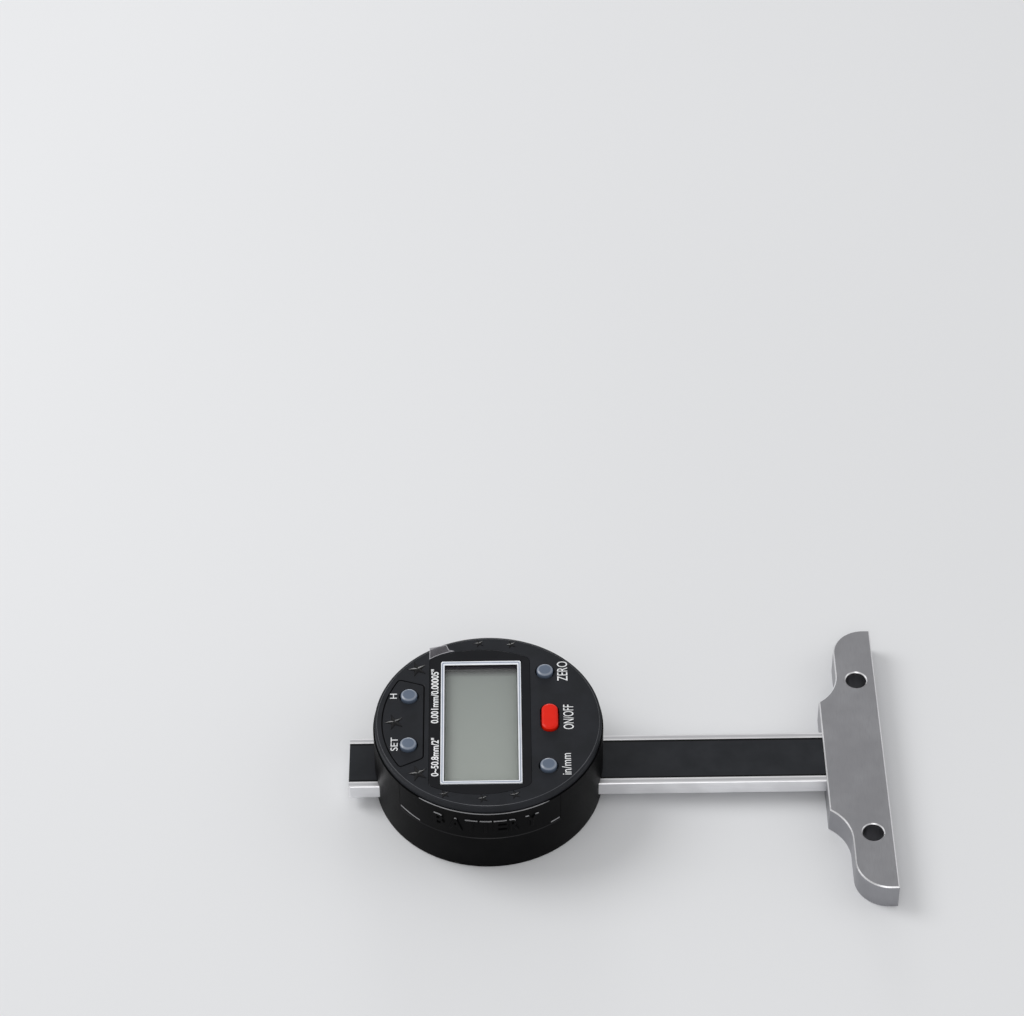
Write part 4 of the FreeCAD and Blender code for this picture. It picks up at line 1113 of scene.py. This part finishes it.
flange_top = seam - flange_gap
for name in button_places:
    low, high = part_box(name)
    red = name == "on_off_button"
    radius = power_half_width if red else button_radius
    rows = [(0, flange_top - flange_thickness), (0, high.z - button_edge_drop)]
    for step in range(1, 4):
        turn = math.pi / 6 * step
        rows.append((radius * (1 - button_crown_share) * (1 - math.cos(turn)),
                     high.z - button_edge_drop + (button_edge_drop - button_crown_drop) * math.sin(turn)))
    shoulder = radius * (1 - button_top_share)
    rows += [(shoulder * button_soft_share, high.z - button_crown_drop * button_soft_drop_share),
             (shoulder, high.z)]
    cap = prism(f"{name}_cap", button_outline(name, 0), rows, trim=[(len(rows) - 2, len(rows) - 3)])
    flange = block("flange", (low.x, low.y, flange_top - flange_thickness), (high.x, high.y, flange_top))
    fuse(cap, [flange])
    if red:
        dress(cap, name, red_finish, [name], trim=[red_finish])
    else:
        dress(cap, name, grey_finish, [name], trim=[crown_highlight_finish])

# Printed words. White ink on the cover and the lens panel, read from the near side to the far side.

ink_thickness = 0.00002
ink_lift = 0.000002
weld_distance = 0.0001
ink_shades = (226, 228, 230), (238, 239, 240)
ink_finish = moulded_plastic("white_ink", *ink_shades,
                             grain=0.0001, depth=0.000001, smooth=0.45, rough=0.55)
printed_words = {
    "hold_word": ("H", -0.0242, -0.0225, 0.0076, 0.0092, 0.0),
    "set_word": ("SET", -0.0238, -0.02205, -0.0095, -0.0052, 0.0),
    "zero_word": ("ZERO", 0.0172, 0.0198, 0.0128, 0.0193, 0.0),
    "power_word": ("ON/OFF", 0.01845, 0.021, -0.0032, 0.0048, 0.0),
    "unit_word": ("in/mm", 0.0178, 0.0201, -0.0178, -0.011, 0.0),
    "step_figures": ('0.001mm/0.00005"', -0.0141, -0.0122, -0.00075, 0.0172, 0.02),
    "range_figures": ('0~50.8mm/2"', -0.01395, -0.01205, -0.01785, -0.0055, 0.02),
}


def lettering(name, words, boldness, thickness=1.0, bevel=0.0):
    """Closed mesh of the words, in a unit box: length along X, height along Y, thickness along Z."""
    text = bpy.data.curves.new(name, "FONT")
    text.body = words
    text.offset = boldness
    text.extrude = thickness / 2
    text.bevel_depth = bevel
    text.resolution_u = 4
    written = bpy.data.objects.new(name, text)
    bpy.context.scene.collection.objects.link(written)
    graph = bpy.context.evaluated_depsgraph_get()
    mesh = bpy.data.meshes.new_from_object(written.evaluated_get(graph))
    bpy.data.objects.remove(written)
    low = Vector([min(vertex.co[axis] for vertex in mesh.vertices) for axis in range(3)])
    high = Vector([max(vertex.co[axis] for vertex in mesh.vertices) for axis in range(3)])
    for vertex in mesh.vertices:
        vertex.co = [(vertex.co[axis] - low[axis]) / (high[axis] - low[axis]) for axis in range(3)]
    shape = bmesh.new()
    shape.from_mesh(mesh)
    bmesh.ops.remove_doubles(shape, verts=shape.verts, dist=weld_distance)
    return as_piece(name, shape)


for name, (words, left, right, near, far, boldness) in printed_words.items():
    piece = lettering(name, words, boldness)
    for vertex in piece.data.vertices:
        along, up, over = vertex.co
        vertex.co = (head_x + right - up * (right - left), near + along * (far - near),
                     face - ink_lift + over * ink_thickness)
    piece.data.update()
    dress(piece, "head", ink_finish)

# Film tab. The clear protective film on the lens panel has a short pull tab, which lies over the cover's rim.

film_outline = ((-0.01455, 0.0206), (-0.0132, 0.0215), (-0.0115, 0.02235), (-0.0098, 0.02295),
                (-0.0083, 0.0233), (-0.0097, 0.0237), (-0.0103, 0.0254), (-0.01455, 0.0245))
film_thickness = 0.00005
film_border = 0.00016
film_lift_share = 1.1
film_shade = (120, 118, 124)
film_edge_highlight_shade = (205, 204, 210)
film_dull_share = 0.9


def clear_plastic(name, shade, alpha, smooth, rough):
    """Thin clear plastic that lets most of what is behind it through."""
    made, shader = new_finish(name, metallic=0.0, roughness=smooth)
    cloud = spots(made, 0.002)
    bright = screen(*shade)
    dull = screen(*[value * film_dull_share for value in shade])
    wire(made, coloured(made, cloud, 0.35, 0.65, dull, bright), shader, "Base Color")
    wire(made, measured(made, cloud, 0.3, 0.7, smooth, rough), shader, "Roughness")
    shader.inputs["Alpha"].default_value = alpha
    return made


film = prism("film_tab", on_head(film_outline), [
    (0, face),
    (0, face + film_thickness),
    (film_border, face + film_thickness * film_lift_share),
], trim=[(0, 1)])
film_finish = clear_plastic("film_plastic", film_shade, alpha=0.5, smooth=0.2, rough=0.35)
# Painted highlight: the tab's edge is a lighter, less clear plastic than the rest of the tab.
film_edge_highlight_finish = clear_plastic("film_edge", film_edge_highlight_shade, alpha=0.75, smooth=0.25, rough=0.4)
dress(film, "head", film_finish, trim=[film_edge_highlight_finish])

# Battery drawer. A tray of the housing's plastic that holds the coin cell, with the curved door of the
# housing on its front. The raised word stands out of the door, between two notches for a finger nail.

tray_low, tray_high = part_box("battery_tray")
tray_left = -0.0139
tray_right = 0.0097
tray_far = 0.0004
tray_reach = 0.02755
tray_front = 0.01062
tray_edge = 0.0001
pocket_place = (-0.0021, -0.0115)
pocket_radius = 0.0101
pocket_floor = 0.00822
notch_half = 0.0025
door_gap_turn = 0.2
door_inner = 0.02675
door_steps = 66
door_edge = 0.00008
door_lip = 0.00021
door_lip_share = 0.6
door_lip_start = -37.0
door_lip_end = 31.0
door_lip_ease = 4.0
nail_notches = ((-49.6, -36.4, 0.00105, 0.0004), (32.0, 37.4, 0.00045, 0.00055))
nail_notch_height = 0.00042
nail_notch_depth = 0.00055
nail_notch_steps = 8
highlight_shades = (140, 140, 143), (156, 156, 159)
highlight_rise = 0.3

left_turn = math.degrees(math.asin(tray_left / tray_reach))
right_turn = math.degrees(math.asin(tray_right / tray_reach))
tray_outline = arc(0, 0, tray_reach, left_turn - 90, right_turn - 90, 32)
tray_outline += [(tray_right, tray_far), (tray_left, tray_far)]
tray = prism("battery_tray_drawer", on_head(tray_outline),
             rounded_edges(tray_low.z, tray_front, tray_edge, tray_edge, 2))
cut(tray, [
    prism("cell_pocket", on_head(circle(*pocket_place, pocket_radius, 128)),
          [(0, pocket_floor), (0, tray_front + overrun)]),
    block("finger_notch", (head_x + pocket_place[0] - notch_half, pocket_place[1], pocket_floor),
          (head_x + pocket_place[0] + notch_half, tray_far + overrun, tray_front + overrun)),
])
door_sections = []
for number in range(door_steps + 1):
    angle = door_start + door_gap_turn + (door_end - door_start - 2 * door_gap_turn) * number / door_steps
    ease = min((angle - door_lip_start) / door_lip_ease, (door_lip_end - angle) / door_lip_ease)
    edge = door_edge + (door_lip - door_edge) * max(0.0, min(1.0, ease))
    door_sections.append((angle, [
        (door_inner, tray_low.z),
        (housing_radius - door_edge, tray_low.z),
        (housing_radius, tray_low.z + door_edge),
        (housing_radius, tray_high.z - edge * door_lip_share),
        (housing_radius - edge, tray_high.z),
        (door_inner, tray_high.z),
    ]))
fuse(tray, [swept("door", door_sections)])
notches = []
for start, end, first_rise, last_rise in nail_notches:
    sections = []
    for step in range(nail_notch_steps + 1):
        share = step / nail_notch_steps
        low = tray_low.z + first_rise + (last_rise - first_rise) * share
        high = low + nail_notch_height
        sections.append((start + (end - start) * share, [
            (housing_radius + overrun, low - nail_notch_height / 2),
            (housing_radius + overrun, high),
            (housing_radius - nail_notch_depth, high),
            (housing_radius, low),
        ]))
    notches.append(swept("nail_notch", sections))
cut(tray, notches)
highlight_finish = moulded_plastic("painted_highlight_edge", *highlight_shades,
                                grain=0.0001, depth=0.000001, smooth=0.2, rough=0.3, gloss=1.0)


def paint_highlight(mesh, lowest, highest, spans):
    """Painted highlight: second finish on a wall's faces that look up, between two heights and angles."""
    for side in mesh.polygons:
        away = math.hypot(side.center.x - head_x, side.center.y)
        turn = math.degrees(math.atan2(side.center.x - head_x, -side.center.y))
        between = lowest < side.center.z < highest and any(start < turn < end for start, end in spans)
        if between and side.normal.z > highlight_rise and away > tray_reach:
            side.material_index = 1


# Painted highlight along the door's top lip and along the nail notches.
paint_highlight(tray.data, tray_high.z - 2 * door_lip, tray_high.z, [(door_lip_start, door_lip_end)])
paint_highlight(tray.data, tray_low.z, (tray_low.z + tray_high.z) / 2, [notch[:2] for notch in nail_notches])
dress(tray, "battery_drawer", housing_finish, ["battery_tray"], trim=[highlight_finish])

letter_places = (("B", -27.8, -22.3), ("A", -20.0, -13.0), ("T", -11.7, -5.5), ("T", -4.5, 1.4),
                 ("E", 2.2, 8.9), ("R", 9.9, 14.9), ("Y", 18.0, 25.0))
letter_low = 0.0097
letter_high = 0.0138
letter_relief = 0.00032
letter_sink = 0.0001
letter_bend = 1.5
letter_boldness = 0.01
letter_thickness = 0.0133
letter_bevel = 0.02
word_shape = bmesh.new()
for letter, start, end in letter_places:
    piece = lettering("letter", letter, letter_boldness, letter_thickness, letter_bevel)
    shape = bmesh.new()
    shape.from_mesh(piece.data)
    parts = math.ceil((end - start) / letter_bend)
    for number in range(1, parts):
        everything = list(shape.verts) + list(shape.edges) + list(shape.faces)
        bmesh.ops.bisect_plane(shape, geom=everything, plane_co=(number / parts, 0, 0), plane_no=(1, 0, 0))
    for vertex in shape.verts:
        along, up, over = vertex.co
        turn = math.radians(start + along * (end - start))
        reach = housing_radius - letter_sink + over * (letter_relief + letter_sink)
        vertex.co = (head_x + reach * math.sin(turn), -reach * math.cos(turn),
                     letter_low + up * (letter_high - letter_low))
    shape.to_mesh(piece.data)
    shape.free()
    word_shape.from_mesh(piece.data)
    bpy.data.objects.remove(piece)
word = as_piece("battery_word", word_shape)
# Painted highlight on the upper faces of the letters.
paint_highlight(word.data, letter_high - letter_relief, tray_high.z, [(door_start, door_end)])
dress(word, "battery_drawer", housing_finish, trim=[highlight_finish])

# Coin cell. A pressed steel can with a slightly smaller cap on its front, bright on all sides.

cell_low, cell_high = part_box("coin_cell")
cell_radius = (cell_high.x - cell_low.x) / 2
cell_cap_radius = 0.0091
cell_can_front = 0.01092
cell_edge = 0.00025
cell_shade = (196, 198, 202)
cell_place = ((cell_low.x + cell_high.x) / 2, (cell_low.y + cell_high.y) / 2)
cell_rows = rounded_edges(cell_low.z, cell_can_front, cell_edge, cell_edge, 3)
for amount, z in rounded_edges(cell_can_front, cell_high.z, 0, cell_edge, 3):
    cell_rows.append((cell_radius - cell_cap_radius + amount, z))
cell_finish = ground_steel("cell_steel", cell_shade,
                           length=0.0006, width=0.0006, depth=0.0006, smooth=0.2, rough=0.3)
cell = prism("coin_cell_can", circle(*cell_place, cell_radius, 128), cell_rows)
dress(cell, "battery_drawer", cell_finish, ["coin_cell"])

# Lock screw. A turned stainless steel knob with scalloped grips on the far side, which clamps the head to the
# beam when it is turned.

knob_low, knob_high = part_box("lock_screw")
shank_radius = 0.0015
collar_radius = 0.0023
collar_gap = 0.0005
collar_length = 0.001
collar_edge = 0.0001
shank_tip_share = 0.2
grip_radius = 0.0035
grip_scallop = 0.00035
grip_scallops = 18
grip_edge = 0.0004
grip_points = 8
grip_sharpness = 1.5
knob_shade = (190, 191, 194)

collar_start = housing_radius + collar_gap
grip_start = collar_start + collar_length
shank_edge = shank_radius * shank_tip_share
lock_screw = prism("lock_screw_knob", circle(head_x, lock_lift, shank_radius, 48),
                   [(shank_edge, knob_low.y), (0, knob_low.y + shank_edge), (0, collar_start + melt)], "xzy")


def scalloped(shrink, y):
    """Loop round the grip with its scallops, made smaller by that amount, at that distance from the beam."""
    points = []
    depth = grip_scallop * (1 - shrink / grip_edge / 2)
    steps = grip_scallops * grip_points
    for number in range(steps):
        turn = 2 * math.pi * number / steps
        radius = grip_radius - shrink - depth * (0.5 - 0.5 * math.cos(turn * grip_scallops)) ** grip_sharpness
        points.append((head_x + radius * math.cos(turn), y, lock_lift + radius * math.sin(turn)))
    return points


grip_loops = []
for shrink, y in ((grip_edge, grip_start), (0, grip_start + grip_edge), (0, knob_high.y - grip_edge),
                  (grip_edge / 4, knob_high.y - grip_edge / 4), (grip_edge, knob_high.y)):
    grip_loops.append(scalloped(shrink, y))
fuse(lock_screw, [
    prism("collar", circle(head_x, lock_lift, collar_radius, 64),
          rounded_edges(collar_start, grip_start + melt, collar_edge, 0, 2), "xzy"),
    lofted("grip", grip_loops),
])
knob_finish = ground_steel("knob_steel", knob_shade,
                           length=0.0004, width=0.0004, depth=0.0004, smooth=0.26, rough=0.38)
dress(lock_screw, "lock_screw", knob_finish, ["lock_screw"])

# Studio. A plain pale floor that the gauge lies on, a soft key lamp on the left and three weaker ones on the
# other sides, and the camera that looks down at the gauge as the photograph does.

floor_half = 3.0
floor_shade = (226, 227, 229)
floor_lift = 3
world_strength = 0.57
floor_z = cad_box[0].z
floor_mesh = bpy.data.meshes.new("floor")
floor_mesh.from_pydata([(-floor_half, -floor_half, floor_z), (floor_half, -floor_half, floor_z),
                        (floor_half, floor_half, floor_z), (-floor_half, floor_half, floor_z)],
                       [], [(0, 1, 2, 3)])
floor = bpy.data.objects.new("floor", floor_mesh)
bpy.context.scene.collection.objects.link(floor)
floor_finish, floor_shader = new_finish("pale_floor", metallic=0.0, roughness=0.85)
floor_cloud = spots(floor_finish, 0.3, detail=1.0)
floor_colour = coloured(floor_finish, floor_cloud, 0.3, 0.7, screen(*floor_shade),
                        screen(*[value + floor_lift for value in floor_shade]))
wire(floor_finish, floor_colour, floor_shader, "Base Color")
floor_mesh.materials.append(floor_finish)

world = bpy.data.worlds.new("studio")
world.use_nodes = True
world.node_tree.nodes["Background"].inputs["Color"].default_value = (1.0, 1.0, 1.0, 1.0)
world.node_tree.nodes["Background"].inputs["Strength"].default_value = world_strength
bpy.context.scene.world = world

lamp_aim = Vector((-0.07, 0.0, 0.005))
lamps = {
    "key_lamp": ((-0.75, 0.3, 0.75), 0.6, 4.0),
    "side_lamp": ((0.9, 0.1, 0.6), 0.7, 0.8),
    "front_lamp": ((-0.12, -0.8, 0.85), 0.6, 1.6),
    "back_lamp": ((-0.11, 1.25, 0.26), 0.42, 2.4),
}
for name, (place, size, power) in lamps.items():
    data = bpy.data.lights.new(name, "AREA")
    data.shape = "DISK"
    data.size = size
    data.energy = power
    lamp = bpy.data.objects.new(name, data)
    lamp.location = place
    lamp.rotation_euler = (lamp_aim - Vector(place)).to_track_quat("-Z", "Y").to_euler()
    bpy.context.scene.collection.objects.link(lamp)

camera_place = (-0.0919, -0.5348, 0.6178)
camera_right = Vector((0.9999, -0.0097, -0.0093))
camera_down = Vector((-0.0134, -0.7015, -0.7125))
focal_pixels = 3268.6
frame_pixels = 1024
sensor_width = 36.0
camera_data = bpy.data.cameras.new("camera")
camera_data.sensor_width = sensor_width
camera_data.lens = sensor_width * focal_pixels / frame_pixels
camera = bpy.data.objects.new("camera", camera_data)
right = camera_right.normalized()
up = -(camera_down - right * camera_down.dot(right)).normalized()
back = right.cross(up)
camera.matrix_world = Matrix((
    (right.x, up.x, back.x, camera_place[0]),
    (right.y, up.y, back.y, camera_place[1]),
    (right.z, up.z, back.z, camera_place[2]),
    (0, 0, 0, 1),
))
bpy.context.scene.collection.objects.link(camera)
bpy.context.scene.camera = camera
bpy.context.scene.view_settings.view_transform = "Standard"
